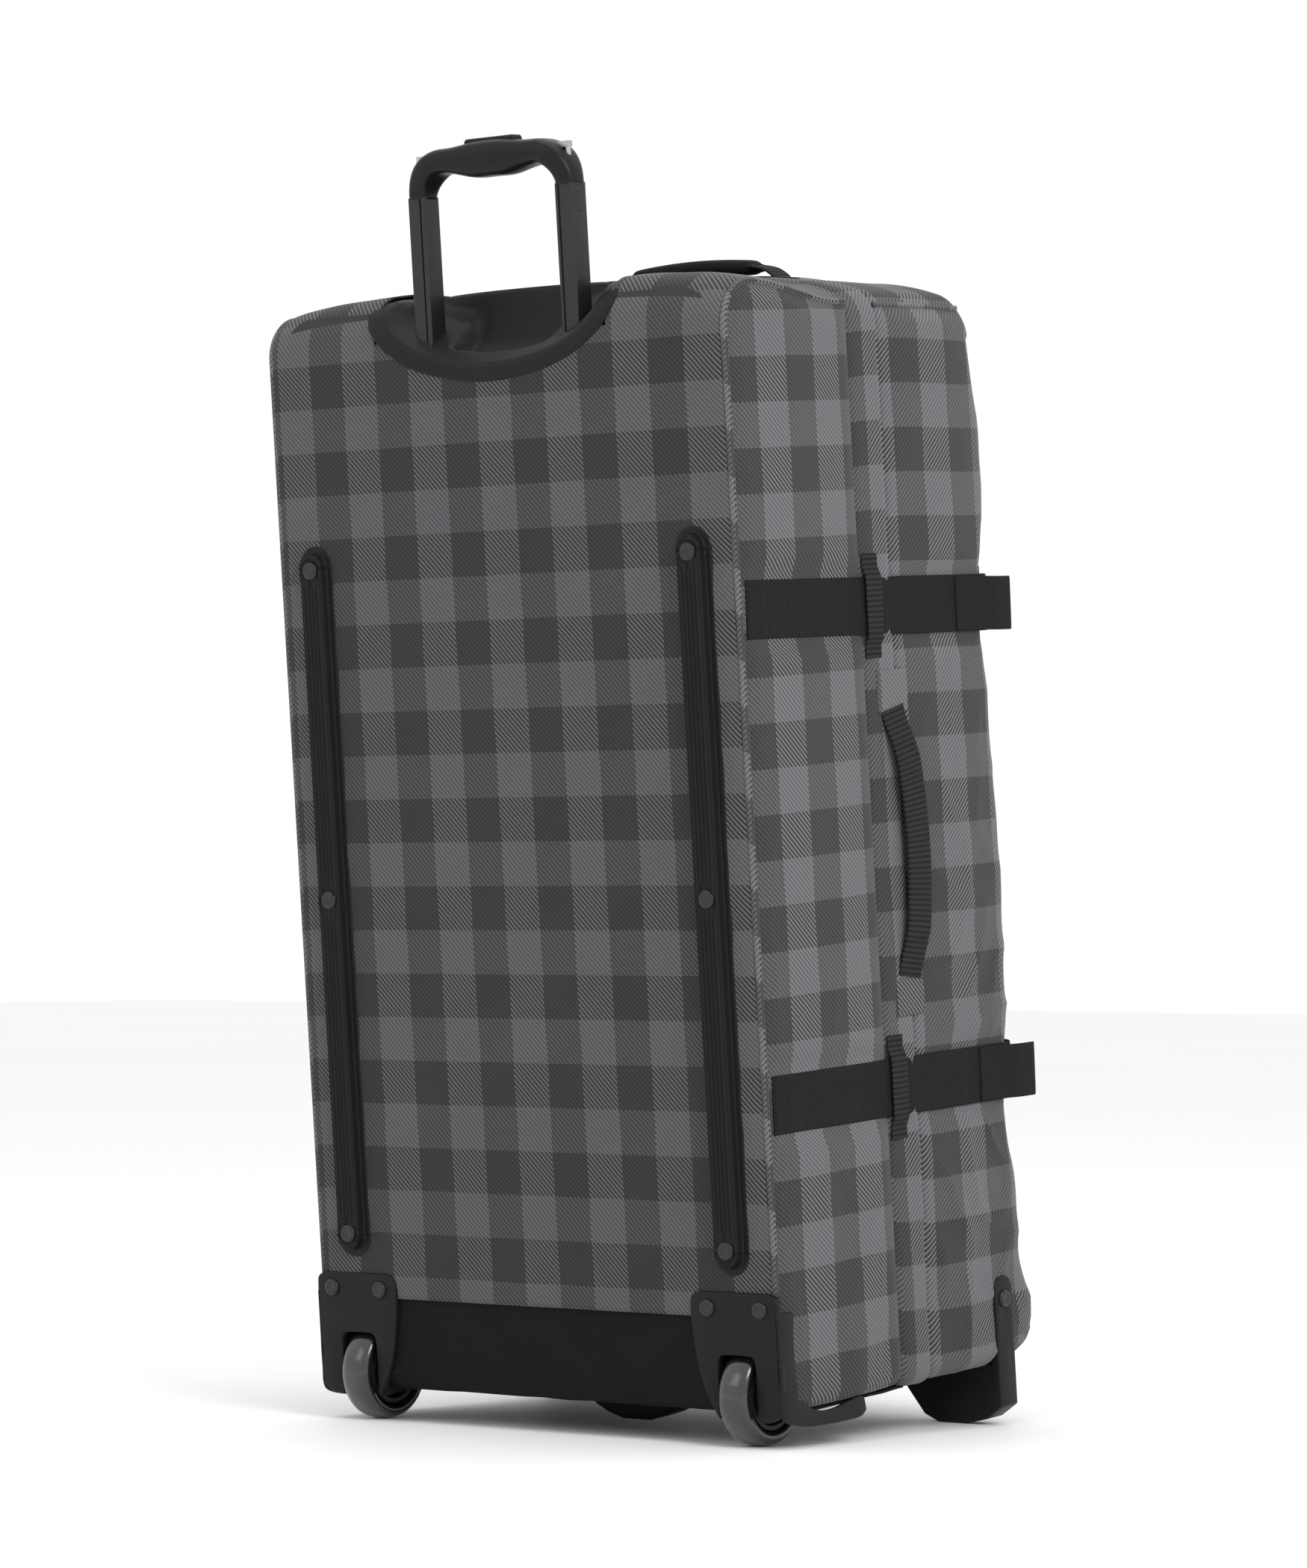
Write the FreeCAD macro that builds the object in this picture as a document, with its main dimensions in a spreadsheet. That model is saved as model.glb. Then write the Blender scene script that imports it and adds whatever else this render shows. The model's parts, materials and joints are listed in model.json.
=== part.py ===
import FreeCAD, Part
import math
import os
import re
import Sketcher

# A large wheeled travel bag: soft body, telescopic handle, two rear wheels, two front feet.
# Bag frame: x across, depth forward from the back panel (-Y), z up along the back panel.
# The bag leans back by `lean`, so each node is turned about X and set down on its wheels.

doc = FreeCAD.newDocument("TravelBag")
sheet = doc.addObject("Spreadsheet::Sheet", "Sizes")

SIZES = {
    # body
    "lean": 5, "bodyWidth": 400, "bodyTop": 774, "bodyLow": 24, "topRound": 36, "lowRound": 14,
    "cloth": 3, "seamGap": 0.3, "gussetDepth": 132, "bandDepth": 34, "frontDepth": 120,
    "frontRound": 18, "panelThick": 2, "boardThick": 2, "panelLow": 91,
    # lid and pockets
    "lidWidth": 280, "lidLow": 80, "lidTop": 720, "lidRound": 30, "lidGap": 0.5,
    "pocketWidth": 232, "pocketRise": 22, "pocketSplit": 405, "pocketGap": 24, "pocketRound": 9,
    # telescopic handle
    "tubeWide": 15, "tubeDeep": 16, "tubeWall": 1.2, "tubeSpan": 130, "tubeInset": 15,
    "slideGap": 0.1, "tubeTop": 842, "tubeLength": 520, "sleeveLow": 150, "sleeveTop": 742,
    "sleeveWall": 1.6, "gripWidth": 146, "gripDeep": 25, "gripTop": 875, "gripBar": 19,
    "gripRound": 14, "plugLength": 24, "rodRadius": 2, "rodGap": 1, "buttonWide": 44,
    "buttonDeep": 11, "buttonRise": 3, "buttonTravel": 4, "yokeTall": 4, "yokeDeep": 6,
    # handle cup
    "cupHalf": 112, "cupDrop": 61, "cupDeep": 50, "cupShelf": 755, "cupWall": 3, "cupLip": 3,
    "recessHalf": 46, "recessLow": 729,
    # skid rails
    "railSpan": 334, "railWide": 32, "railLow": 115, "railTop": 611, "railFlange": 3,
    "ridgeWide": 21, "ridgeRise": 10, "rivetHead": 6.5, "rivetShank": 2.5,
    # wheels and housings
    "wheelRadius": 34, "wheelWide": 24, "wheelInset": 20, "wheelSpan": 334, "hubRadius": 23,
    "hubWide": 20, "bearingRadius": 11, "bearingWide": 7, "axleRadius": 4, "axleGap": 0.05,
    "wellWide": 34, "wellDeep": 60, "wellTop": 74, "wellWall": 2.5, "slotWide": 29,
    "slotTop": 64, "housingWide": 72, "housingTop": 105, "housingLow": 17, "housingPlate": 4,
    "wingDeep": 16, "wingTop": 92, "wingWall": 3, "runnerDeep": 84, "runnerTop": 25,
    "runnerLow": 15,
    # feet
    "footInset": 235, "footDeep": 20, "footArmTop": 84, "footArmWall": 6, "footReach": 88,
    "footRivet": 68, "skidInset": 90, "skidDeep": 26, "skidHalf": 42, "skidRise": 3,
    # webbing
    "strapWide": 38, "strapThick": 1.6, "strapStart": 8, "upperStrap": 550, "lowerStrap": 227,
    "loopWide": 16, "loopTall": 66, "loopInset": 136, "buckleThick": 9, "buckleTall": 46,
    "socketWide": 24, "plugWide": 14, "prongLong": 14, "grabWide": 25, "grabLow": 300,
    "grabTop": 480, "grabInset": 155, "grabBow": 6,
    # top carry handle
    "carryInset": 228, "carryHalf": 76, "carryPad": 52, "carryWide": 20, "carryThick": 10,
    "carryRise": 9, "carryAxis": 3,
    # zip
    "zipInset": 148, "zipHalf": 150, "sliderLong": 14, "sliderWide": 9, "sliderTall": 5,
    "sliderPlace": 17, "pullLong": 26, "pullWide": 10, "pullThick": 1.5, "pinRadius": 1,
    # inner boards
    "baseBoard": 3, "bracketTall": 32, "bracketWall": 4,
}
for row, (alias, number) in enumerate(SIZES.items(), start=1):
    sheet.set(f"A{row}", alias)
    sheet.set(f"B{row}", str(number))
    sheet.setAlias(f"B{row}", alias)
doc.recompute()

WORD = re.compile(r"[A-Za-z_]\w*")


def linked(formula):
    """A formula in the sheet's words, written as an expression that FreeCAD can bind."""
    text = str(formula)
    return WORD.sub(lambda word: "Sizes." + word.group() if word.group() in SIZES else word.group(), text)


def value(formula):
    """The present value of such a formula."""
    words = {alias: float(sheet.get(alias)) for alias in SIZES}
    total = FreeCAD.Units.Quantity(WORD.sub(lambda word: repr(words.get(word.group())), str(formula)))
    return float(total.Value)


def bind(piece, **formulas):
    for prop, formula in formulas.items():
        piece.setExpression(prop.replace("_", "."), linked(formula))
    return piece


def place(piece, x, depth, z):
    for axis, formula in (("x", x), ("y", f"-({depth})"), ("z", z)):
        piece.setExpression(f".Placement.Base.{axis}", linked(formula))
    return piece


def block(name, wide, deep, tall, x, depth, z):
    """A box: x is its lowest x, depth its rearmost face, z its underside."""
    piece = bind(doc.addObject("Part::Box", name), Length=wide, Width=deep, Height=tall)
    return place(piece, x, f"{depth} + {deep}", z)


def rod(name, radius, length, x, depth, z, axis="z"):
    """A round bar that runs up z, across x, or forward along the depth from its start."""
    piece = bind(doc.addObject("Part::Cylinder", name), Radius=radius, Height=length)
    turns = {"z": (0, 0, 1, 0), "x": (0, 1, 0, 90), "depth": (1, 0, 0, 90)}
    ax, ay, az, angle = turns[axis]
    piece.Placement = FreeCAD.Placement(FreeCAD.Vector(), FreeCAD.Rotation(FreeCAD.Vector(ax, ay, az), angle))
    return place(piece, x, depth, z)


def cut(name, base, *tools):
    for count, tool in enumerate(tools):
        piece = doc.addObject("Part::Cut", f"{name}_cut{count}")
        piece.Base, piece.Tool = base, tool
        base = piece
    return base


def fuse(name, *pieces):
    joined = doc.addObject("Part::MultiFuse", f"{name}_fuse")
    joined.Shapes = list(pieces)
    joined.Refine = True
    return joined


def common(name, *pieces):
    shared = doc.addObject("Part::MultiCommon", f"{name}_common")
    shared.Shapes = list(pieces)
    return shared


def fillet(name, base, radius, chosen):
    """Rounds the edges that chosen(edge) accepts, no more than their walls allow."""
    doc.recompute()
    piece = doc.addObject("Part::Fillet", f"{name}_fillet")
    piece.Base = base
    size = value(radius)
    edges = enumerate(base.Shape.Edges, start=1)
    piece.Edges = [(number, size, size) for number, edge in edges if chosen(edge)]
    return piece


def runs(edge, axis):
    """True for a straight edge along the named axis."""
    if not isinstance(edge.Curve, Part.Line):
        return False
    direction = edge.Curve.Direction
    return abs({"x": direction.x, "depth": direction.y, "z": direction.z}[axis]) > 0.999


def slab(name, outline, depth, thick):
    """A PartDesign pad: an outline in x and z, from a depth forward by its thickness."""
    body = doc.addObject("PartDesign::Body", name)
    plane = next(p for p in body.Origin.OriginFeatures if p.Role == "XZ_Plane")
    sketch = body.newObject("Sketcher::SketchObject", f"{name}_outline")
    sketch.AttachmentSupport = [(plane, "")]
    sketch.MapMode = "FlatFace"
    sketch.setExpression(".AttachmentOffset.Base.z", linked(depth))
    spots = [FreeCAD.Vector(value(x), value(z), 0) for x, z in outline]
    for count, spot in enumerate(spots):
        sketch.addGeometry(Part.LineSegment(spot, spots[(count + 1) % len(spots)]), False)
    for count in range(len(spots)):
        follower = (count + 1) % len(spots)
        sketch.addConstraint(Sketcher.Constraint("Coincident", count, 2, follower, 1))
    for count, (x, z) in enumerate(outline):
        for kind, formula in (("DistanceX", x), ("DistanceY", z)):
            index = sketch.addConstraint(Sketcher.Constraint(kind, -1, 1, count, 1, value(formula)))
            sketch.setExpression(f"Constraints[{index}]", linked(formula))
    pad = body.newObject("PartDesign::Pad", f"{name}_pad")
    pad.Profile = sketch
    pad.setExpression("Length", linked(thick))
    sketch.Visibility = False
    return body


def rectangle(low_x, high_x, low_z, high_z):
    return [(low_x, low_z), (high_x, low_z), (high_x, high_z), (low_x, high_z)]


def rounded(name, base, **corners):
    """Rounds the depth-wise corners of a slab: top=radius and low=radius."""
    doc.recompute()
    middle = (base.Shape.BoundBox.ZMin + base.Shape.BoundBox.ZMax) / 2
    for side, radius in corners.items():
        above = side == "top"
        base = fillet(f"{name}_{side}", base, radius,
                      lambda edge: runs(edge, "depth") and (edge.BoundBox.Center.z > middle) == above)
    return base


def spun(name, outline, x, depth, z):
    """A PartDesign revolution about x: the outline is (distance across, radius)."""
    body = doc.addObject("PartDesign::Body", name)
    plane = next(p for p in body.Origin.OriginFeatures if p.Role == "XZ_Plane")
    sketch = body.newObject("Sketcher::SketchObject", f"{name}_section")
    sketch.AttachmentSupport = [(plane, "")]
    sketch.MapMode = "FlatFace"
    spots = [FreeCAD.Vector(value(across), value(radius), 0) for across, radius in outline]
    for count, spot in enumerate(spots):
        sketch.addGeometry(Part.LineSegment(spot, spots[(count + 1) % len(spots)]), False)
    for count in range(len(spots)):
        follower = (count + 1) % len(spots)
        sketch.addConstraint(Sketcher.Constraint("Coincident", count, 2, follower, 1))
    for count, (across, radius) in enumerate(outline):
        for kind, formula in (("DistanceX", across), ("DistanceY", radius)):
            index = sketch.addConstraint(Sketcher.Constraint(kind, -1, 1, count, 1, value(formula)))
            sketch.setExpression(f"Constraints[{index}]", linked(formula))
    turn = body.newObject("PartDesign::Revolution", f"{name}_turn")
    turn.Profile = sketch
    turn.ReferenceAxis = (sketch, ["H_Axis"])
    turn.Angle = 360
    sketch.Visibility = False
    return place(body, x, depth, z)


NODES = {}


def node(label, *pieces):
    """Gathers the finished solids of one named node."""
    group = doc.addObject("Part::Compound", label)
    group.Label = label
    group.Links = list(pieces)
    NODES[label] = group


SIDES = {"left": 1, "right": -1}
half = "bodyWidth/2"
bandStart = "gussetDepth + seamGap"
frontStart = "gussetDepth + bandDepth + seamGap"
frontFace = "gussetDepth + bandDepth + frontDepth"

# ---- handle cup: a D-shaped moulding let into the top of the back ----


def cup_outline(name, growth, start, deep):
    """A half ellipse hanging from the bag's top edge, extruded forward."""
    ellipse = doc.addObject("Part::Ellipse", f"{name}_ellipse")
    bind(ellipse, MajorRadius=f"cupHalf + {growth}", MinorRadius=f"cupDrop + {growth}")
    ellipse.Placement = FreeCAD.Placement(FreeCAD.Vector(), FreeCAD.Rotation(FreeCAD.Vector(1, 0, 0), 90))
    place(ellipse, "0", start, "bodyTop")
    solid = doc.addObject("Part::Extrusion", f"{name}_solid")
    solid.Base = ellipse
    solid.DirMode = "Custom"
    solid.Dir = FreeCAD.Vector(0, -1, 0)
    solid.Solid = True
    bind(solid, LengthFwd=deep)
    return solid


def cup_clearance(name):
    """The space that cloth and boards leave for the cup."""
    return cup_outline(f"{name}_room", "seamGap", "-10", "cupDeep + 10 + seamGap")


cupBlock = cup_outline("cup", "0", "-cupLip", "cupDeep + cupLip")
aboveTop = block("cup_above", "3*cupHalf", "cupDeep + 30", "cupDrop + 30", "-1.5*cupHalf", "-20", "bodyTop")
shelfCut = block("cup_shelf", "2*(cupHalf - 16)", "cupDeep + cupLip - cupWall + 10", "cupDrop",
                 "-(cupHalf - 16)", "-cupLip - 10", "cupShelf")
recessCut = block("cup_recess", "2*recessHalf", "cupDeep + cupLip - cupWall - 4 + 10", "cupDrop",
                  "-recessHalf", "-cupLip - 10", "recessLow")
recessCut = fillet("cup_recess", recessCut, "recessHalf/3",
                   lambda edge: runs(edge, "depth") and edge.BoundBox.Center.z < value("recessLow") + 1)
tubeHoles = []
for side, sign in SIDES.items():
    centre = f"{sign}*tubeSpan/2"
    tubeHoles.append(block(f"cup_bore_{side}", "tubeWide + 2*slideGap", "tubeDeep + 2*slideGap", "80",
                           f"{centre} - tubeWide/2 - slideGap", "tubeInset - tubeDeep/2 - slideGap",
                           "cupShelf - 60"))
    sleeve = "(tubeWide/2 + slideGap + sleeveWall + slideGap)"
    sleeveDeep = "(tubeDeep/2 + slideGap + sleeveWall + slideGap)"
    tubeHoles.append(block(f"cup_seat_{side}", f"2*{sleeve}", f"2*{sleeveDeep}", "80",
                           f"{centre} - {sleeve}", f"tubeInset - {sleeveDeep}", "sleeveTop + slideGap - 80"))
cup = cut("handle_cup", cupBlock, aboveTop, shelfCut, recessCut, *tubeHoles)
node("handle_cup", cup)

# ---- soft body: back panel, lower panel, gusset, zip band, front compartment ----

backSheet = slab("back_sheet", rectangle(f"-{half}", half, "panelLow + seamGap", "bodyTop"), "0", "panelThick")
backSheet = rounded("back_sheet", backSheet, top="topRound")
node("back_panel", cut("back_panel", backSheet, cup_clearance("back_panel")))

board = slab("board_sheet", rectangle(f"-{half} + 10", f"{half} - 10", "panelLow + 4", "bodyTop - 8"),
             "panelThick + 0.2", "boardThick")
board = rounded("board_sheet", board, top="topRound - 8")
node("back_board", cut("back_board", board, cup_clearance("back_board")))


def well_room(name, sign):
    """The space that the wheel well takes inside the bag."""
    side = f"{sign}*wheelSpan/2"
    across = "wellWide + 2*wellWall + 2*seamGap"
    return block(name, across, "wellDeep + wellWall + seamGap + 20", "wellTop + wellWall + seamGap + 10",
                 f"{side} - ({across})/2", "-20", "-10")


lowSheet = block("low_sheet", "bodyWidth - 2*cloth - 2*seamGap", "panelThick", "panelLow - bodyLow",
                 f"-({half} - cloth - seamGap)", "0", "bodyLow")
lowFloor = block("low_floor", "bodyWidth - 2*cloth - 2*seamGap", "gussetDepth - panelThick", "cloth",
                 f"-({half} - cloth - seamGap)", "panelThick", "bodyLow")
lowWells = [well_room(f"low_well_{side}", sign) for side, sign in SIDES.items()]
node("lower_panel", cut("lower_panel", fuse("lower_panel", lowSheet, lowFloor), *lowWells))


def ring(name, inset, start, deep):
    """A hollow band of cloth that follows the bag's outline."""
    outer = slab(f"{name}_outer", rectangle(f"-{half} + {inset}", f"{half} - {inset}",
                                            f"bodyLow + {inset}", f"bodyTop - {inset}"), start, deep)
    outer = rounded(f"{name}_outer", outer, top="topRound", low="lowRound")
    inner = slab(f"{name}_inner", rectangle(f"-{half} + {inset} + cloth", f"{half} - {inset} - cloth",
                                            f"bodyLow + {inset} + cloth", f"bodyTop - {inset} - cloth"),
                 f"{start} - 1", f"{deep} + 2")
    inner = rounded(f"{name}_inner", inner, top="topRound - cloth", low="lowRound - cloth")
    return outer, inner


gussetOuter, gussetInner = ring("gusset", "0", "panelThick + seamGap", "gussetDepth - panelThick - seamGap")
gussetFoot = block("gusset_foot", "bodyWidth - 2*cloth", "gussetDepth + 20", "40",
                   f"-({half} - cloth)", "-10", "bodyLow + cloth + seamGap - 40")
node("rear_gusset", cut("rear_gusset", gussetOuter, gussetInner, gussetFoot, cup_clearance("rear_gusset")))

bandOuter, bandInner = ring("band", "1", bandStart, "bandDepth - seamGap")
node("zip_band", cut("zip_band", bandOuter, bandInner))

frontOuter = slab("front_outer", rectangle(f"-{half}", half, "bodyLow", "bodyTop"), frontStart,
                  "frontDepth - seamGap")
frontOuter = rounded("front_outer", frontOuter, top="topRound", low="lowRound")
face = value(frontFace)
frontOuter = fillet("front_rim", frontOuter, "frontRound",
                    lambda edge: abs(edge.BoundBox.YMin + face) < 0.01 and abs(edge.BoundBox.YMax + face) < 0.01)
frontInner = slab("front_inner", rectangle(f"-{half} + cloth", f"{half} - cloth", "bodyLow + cloth",
                                           "bodyTop - cloth"), f"{frontStart} - 1",
                  "frontDepth - seamGap - cloth + 1")
frontInner = rounded("front_inner", frontInner, top="topRound - cloth", low="lowRound - cloth")
frontInner = fillet("front_inner_rim", frontInner, "frontRound - cloth",
                    lambda edge: abs(edge.BoundBox.YMin + face - value("cloth")) < 0.01
                    and abs(edge.BoundBox.YMax + face - value("cloth")) < 0.01)
window = slab("window", rectangle("-lidWidth/2", "lidWidth/2", "lidLow", "lidTop"),
              f"{frontFace} - cloth - 5", "cloth + 20")
window = rounded("window", window, top="lidRound", low="lidRound/3")
node("front_shell", cut("front_shell", frontOuter, frontInner, window))

# ---- front lid with its two pockets, hinged along its lower edge ----

lidSheet = slab("lid_sheet", rectangle("-lidWidth/2 + lidGap", "lidWidth/2 - lidGap", "lidLow + lidGap",
                                       "lidTop - lidGap"), f"{frontFace} - cloth", "cloth")
node("front_lid", rounded("lid_sheet", lidSheet, top="lidRound - lidGap", low="lidRound/3"))


def pocket(label, low, high, rise):
    pouch = slab(f"{label}_pouch", rectangle("-pocketWidth/2", "pocketWidth/2", low, high),
                 f"{frontFace} + seamGap", rise)
    pouch = rounded(f"{label}_pouch", pouch, top="pocketRound*2", low="pocketRound*2")
    front = face + value("seamGap") + value(rise)
    node(label, fillet(f"{label}_rim", pouch, "pocketRound",
                       lambda edge: abs(edge.BoundBox.YMin + front) < 0.01 and abs(edge.BoundBox.YMax + front) < 0.01))


pocket("front_pocket_upper", "pocketSplit + pocketGap/2", "lidTop - pocketGap", "pocketRise")
pocket("front_pocket_lower", "lidLow + pocketGap", "pocketSplit - pocketGap/2", "pocketRise + 4")

# ---- piping round the back panel, base board ----

pipeOuter = slab("piping_outer", rectangle(f"-{half} - 2", f"{half} + 2", "housingTop + 2", "bodyTop + 2"),
                 "-2", "panelThick + 2")
pipeOuter = rounded("piping_outer", pipeOuter, top="topRound + 2")
pipeInner = slab("piping_inner", rectangle(f"-{half} - seamGap", f"{half} + seamGap", "0", "bodyTop + seamGap"),
                 "-4", "panelThick + 8")
pipeInner = rounded("piping_inner", pipeInner, top="topRound + seamGap")
node("back_piping", cut("back_piping", pipeOuter, pipeInner, cup_clearance("back_piping")))

baseInset = "wellDeep + wellWall + 2*seamGap"
node("base_board", block("base_sheet", "bodyWidth - 2*lowRound - 8", f"{frontFace} - cloth - 12 - ({baseInset})",
                         "baseBoard", f"-({half} - lowRound - 4)", baseInset, "bodyLow + 1 + cloth + seamGap"))

# ---- telescopic handle: sleeves in the bag, sliding tubes, grip, button and its rods ----


def square_tube(name, wide, deep, wall, low, high, sign):
    centre = f"{sign}*tubeSpan/2"
    outside = block(f"{name}_out", wide, deep, f"{high} - ({low})", f"{centre} - ({wide})/2",
                    f"tubeInset - ({deep})/2", low)
    inside = block(f"{name}_in", f"{wide} - 2*({wall})", f"{deep} - 2*({wall})", f"{high} - ({low}) + 2",
                   f"{centre} - ({wide})/2 + {wall}", f"tubeInset - ({deep})/2 + {wall}", f"{low} - 1")
    return cut(name, outside, inside)


sleeveWide = "tubeWide + 2*slideGap + 2*sleeveWall"
sleeveDeepAll = "tubeDeep + 2*slideGap + 2*sleeveWall"
node("tube_sleeves", *[square_tube(f"sleeve_{side}", sleeveWide, sleeveDeepAll, "sleeveWall", "sleeveLow",
                                   "sleeveTop", sign) for side, sign in SIDES.items()])
pinWall = "(tubeSpan/2 + tubeWide/2 - tubeWall/2)"
tubes = []
for side, sign in SIDES.items():
    tube = square_tube(f"tube_{side}", "tubeWide", "tubeDeep", "tubeWall", "tubeTop - tubeLength", "tubeTop", sign)
    pinBores = [rod(f"pin_bore_{side}_{count}", "2.05", "2", f"{sign}*{pinWall} - 1", "tubeInset",
                    f"tubeTop - 5 - 12*{count}", axis="x") for count in range(2)]
    tubes.append(cut(f"tube_drilled_{side}", tube, *pinBores))
node("sliding_tubes", *tubes)

bracketBlock = block("bracket_block", "tubeSpan + 60", "tubeDeep + 2*sleeveWall + 2*bracketWall - 4",
                     "bracketTall", "-tubeSpan/2 - 30", "panelThick + boardThick + 0.4",
                     "sleeveLow - bracketWall")
bracketSeats = [block(f"bracket_seat_{side}", f"{sleeveWide} + 2*slideGap", f"{sleeveDeepAll} + 2*slideGap",
                      "bracketTall + 10", f"{sign}*tubeSpan/2 - ({sleeveWide})/2 - slideGap",
                      f"tubeInset - ({sleeveDeepAll})/2 - slideGap", "sleeveLow - slideGap")
                for side, sign in SIDES.items()]
node("sleeve_bracket", cut("sleeve_bracket", bracketBlock, *bracketSeats))

gripOuter = slab("grip_outer", rectangle("-gripWidth/2", "gripWidth/2", "tubeTop + slideGap", "gripTop"),
                 "tubeInset - gripDeep/2", "gripDeep")
gripOuter = rounded("grip_outer", gripOuter, top="gripRound")
legInner = "(tubeSpan/2 - tubeWide/2 - 2)"
gripHole = slab("grip_hole", rectangle(f"-{legInner}", legInner, "tubeTop - 10", "gripTop - gripBar"),
                "tubeInset - gripDeep/2 - 5", "gripDeep + 10")
gripHole = rounded("grip_hole", gripHole, top="6")
gripSolid = cut("grip_bow", gripOuter, gripHole)
gripSolid = fillet("grip_edges", gripSolid, "3.5",
                   lambda edge: runs(edge, "x") and edge.BoundBox.Center.z > value("gripTop") - 1)
yokeRoom = block("yoke_room", "tubeSpan + 2*rodRadius + 2*rodGap", "yokeDeep + 2",
                 "yokeTall + buttonTravel + 1.4", "-(tubeSpan + 2*rodRadius + 2*rodGap)/2",
                 "tubeInset - yokeDeep/2 - 1", "gripTop - 14")
buttonRoom = block("button_room", "buttonWide + 1", "buttonDeep + 1", "20", "-(buttonWide + 1)/2",
                   "tubeInset - buttonDeep/2 - 0.5", "gripTop - 5.6 - buttonTravel")
rodRooms = [rod(f"rod_room_{side}", "rodRadius + rodGap", "30", f"{sign}*tubeSpan/2", "tubeInset",
                "tubeTop - 5") for side, sign in SIDES.items()]
node("grip", cut("grip", gripSolid, yokeRoom, buttonRoom, *rodRooms))

node("grip_pins", *[rod(f"grip_pin_{side}_{count}", "2", "tubeWall",
                        f"{sign}*{pinWall} - tubeWall/2", "tubeInset",
                        f"tubeTop - 5 - 12*{count}", axis="x")
                    for side, sign in SIDES.items() for count in range(2)])

plugWideIn = "tubeWide - 2*tubeWall - 2*slideGap"
plugDeepIn = "tubeDeep - 2*tubeWall - 2*slideGap"
plugLow = "tubeTop - tubeLength"
lockPlugs = []
for side, sign in SIDES.items():
    plugBlock = block(f"lock_block_{side}", plugWideIn, plugDeepIn, "plugLength",
                      f"{sign}*tubeSpan/2 - ({plugWideIn})/2", f"tubeInset - ({plugDeepIn})/2", plugLow)
    plugBore = rod(f"lock_bore_{side}", "rodRadius + rodGap/2", "plugLength + 10", f"{sign}*tubeSpan/2",
                   "tubeInset", f"{plugLow} + 8")
    lockPlugs.append(cut(f"lock_{side}", plugBlock, plugBore))
node("lock_plugs", *lockPlugs)

button = slab("button_cap", rectangle("-buttonWide/2", "buttonWide/2", "gripTop - 5", "gripTop + buttonRise"),
              "tubeInset - buttonDeep/2", "buttonDeep")
button = rounded("button_cap", button, top="2.5")
button = fillet("button_cap", button, "2", lambda edge: runs(edge, "z"))
node("push_button", button)
yokeLow = "gripTop - 5 - yokeTall - 0.05"
yokeBar = block("yoke_bar", "tubeSpan + 2*rodRadius", "yokeDeep - 1", "yokeTall", "-(tubeSpan + 2*rodRadius)/2",
                "tubeInset - (yokeDeep - 1)/2", yokeLow)
rodBase = "tubeTop - tubeLength + plugLength - 10"
rods = [rod(f"rod_{side}", "rodRadius", f"{yokeLow} + 1 - ({rodBase})", f"{sign}*tubeSpan/2", "tubeInset", rodBase)
        for side, sign in SIDES.items()]
node("release_rods", fuse("release_rods", yokeBar, *rods))

# ---- skid rails on the back, with three rivets each ----

railRivets = []
for side, sign in SIDES.items():
    centre = f"{sign}*railSpan/2"
    flange = slab(f"rail_flange_{side}", rectangle(f"{centre} - railWide/2", f"{centre} + railWide/2", "railLow",
                                                   "railTop"), "-railFlange", "railFlange")
    flange = rounded(f"rail_flange_{side}", flange, top="railWide/2 - 0.5", low="railWide/2 - 0.5")
    ridge = slab(f"rail_ridge_{side}", rectangle(f"{centre} - ridgeWide/2", f"{centre} + ridgeWide/2",
                                                 "railLow + 5", "railTop - 5"),
                 "-ridgeRise", "ridgeRise - railFlange + 1")
    ridge = rounded(f"rail_ridge_{side}", ridge, top="ridgeWide/2 - 0.5", low="ridgeWide/2 - 0.5")
    bores = []
    for name, level in (("low", "railLow + 18"), ("middle", "(railLow + railTop)/2 + 2"), ("top", "railTop - 18")):
        bores.append(rod(f"rail_sink_{side}_{name}", "rivetHead + 0.3", "6", centre, "-ridgeRise - 2", level,
                         axis="depth"))
        bores.append(rod(f"rail_bore_{side}_{name}", "rivetShank + 0.05", "40", centre, "-20", level, axis="depth"))
        head = rod(f"rail_head_{side}_{name}", "rivetHead", "2.6", centre, "-ridgeRise + 1.4", level, axis="depth")
        shank = rod(f"rail_shank_{side}_{name}", "rivetShank", "ridgeRise - 3", centre, "-ridgeRise + 3",
                    level, axis="depth")
        railRivets.append(fuse(f"rail_rivet_{side}_{name}", head, shank))
    node(f"skid_rail_{side}", cut(f"skid_rail_{side}", fuse(f"skid_rail_{side}", flange, ridge), *bores))
node("rail_rivets", *railRivets)

# ---- wheels, their housings and axles ----

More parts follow.
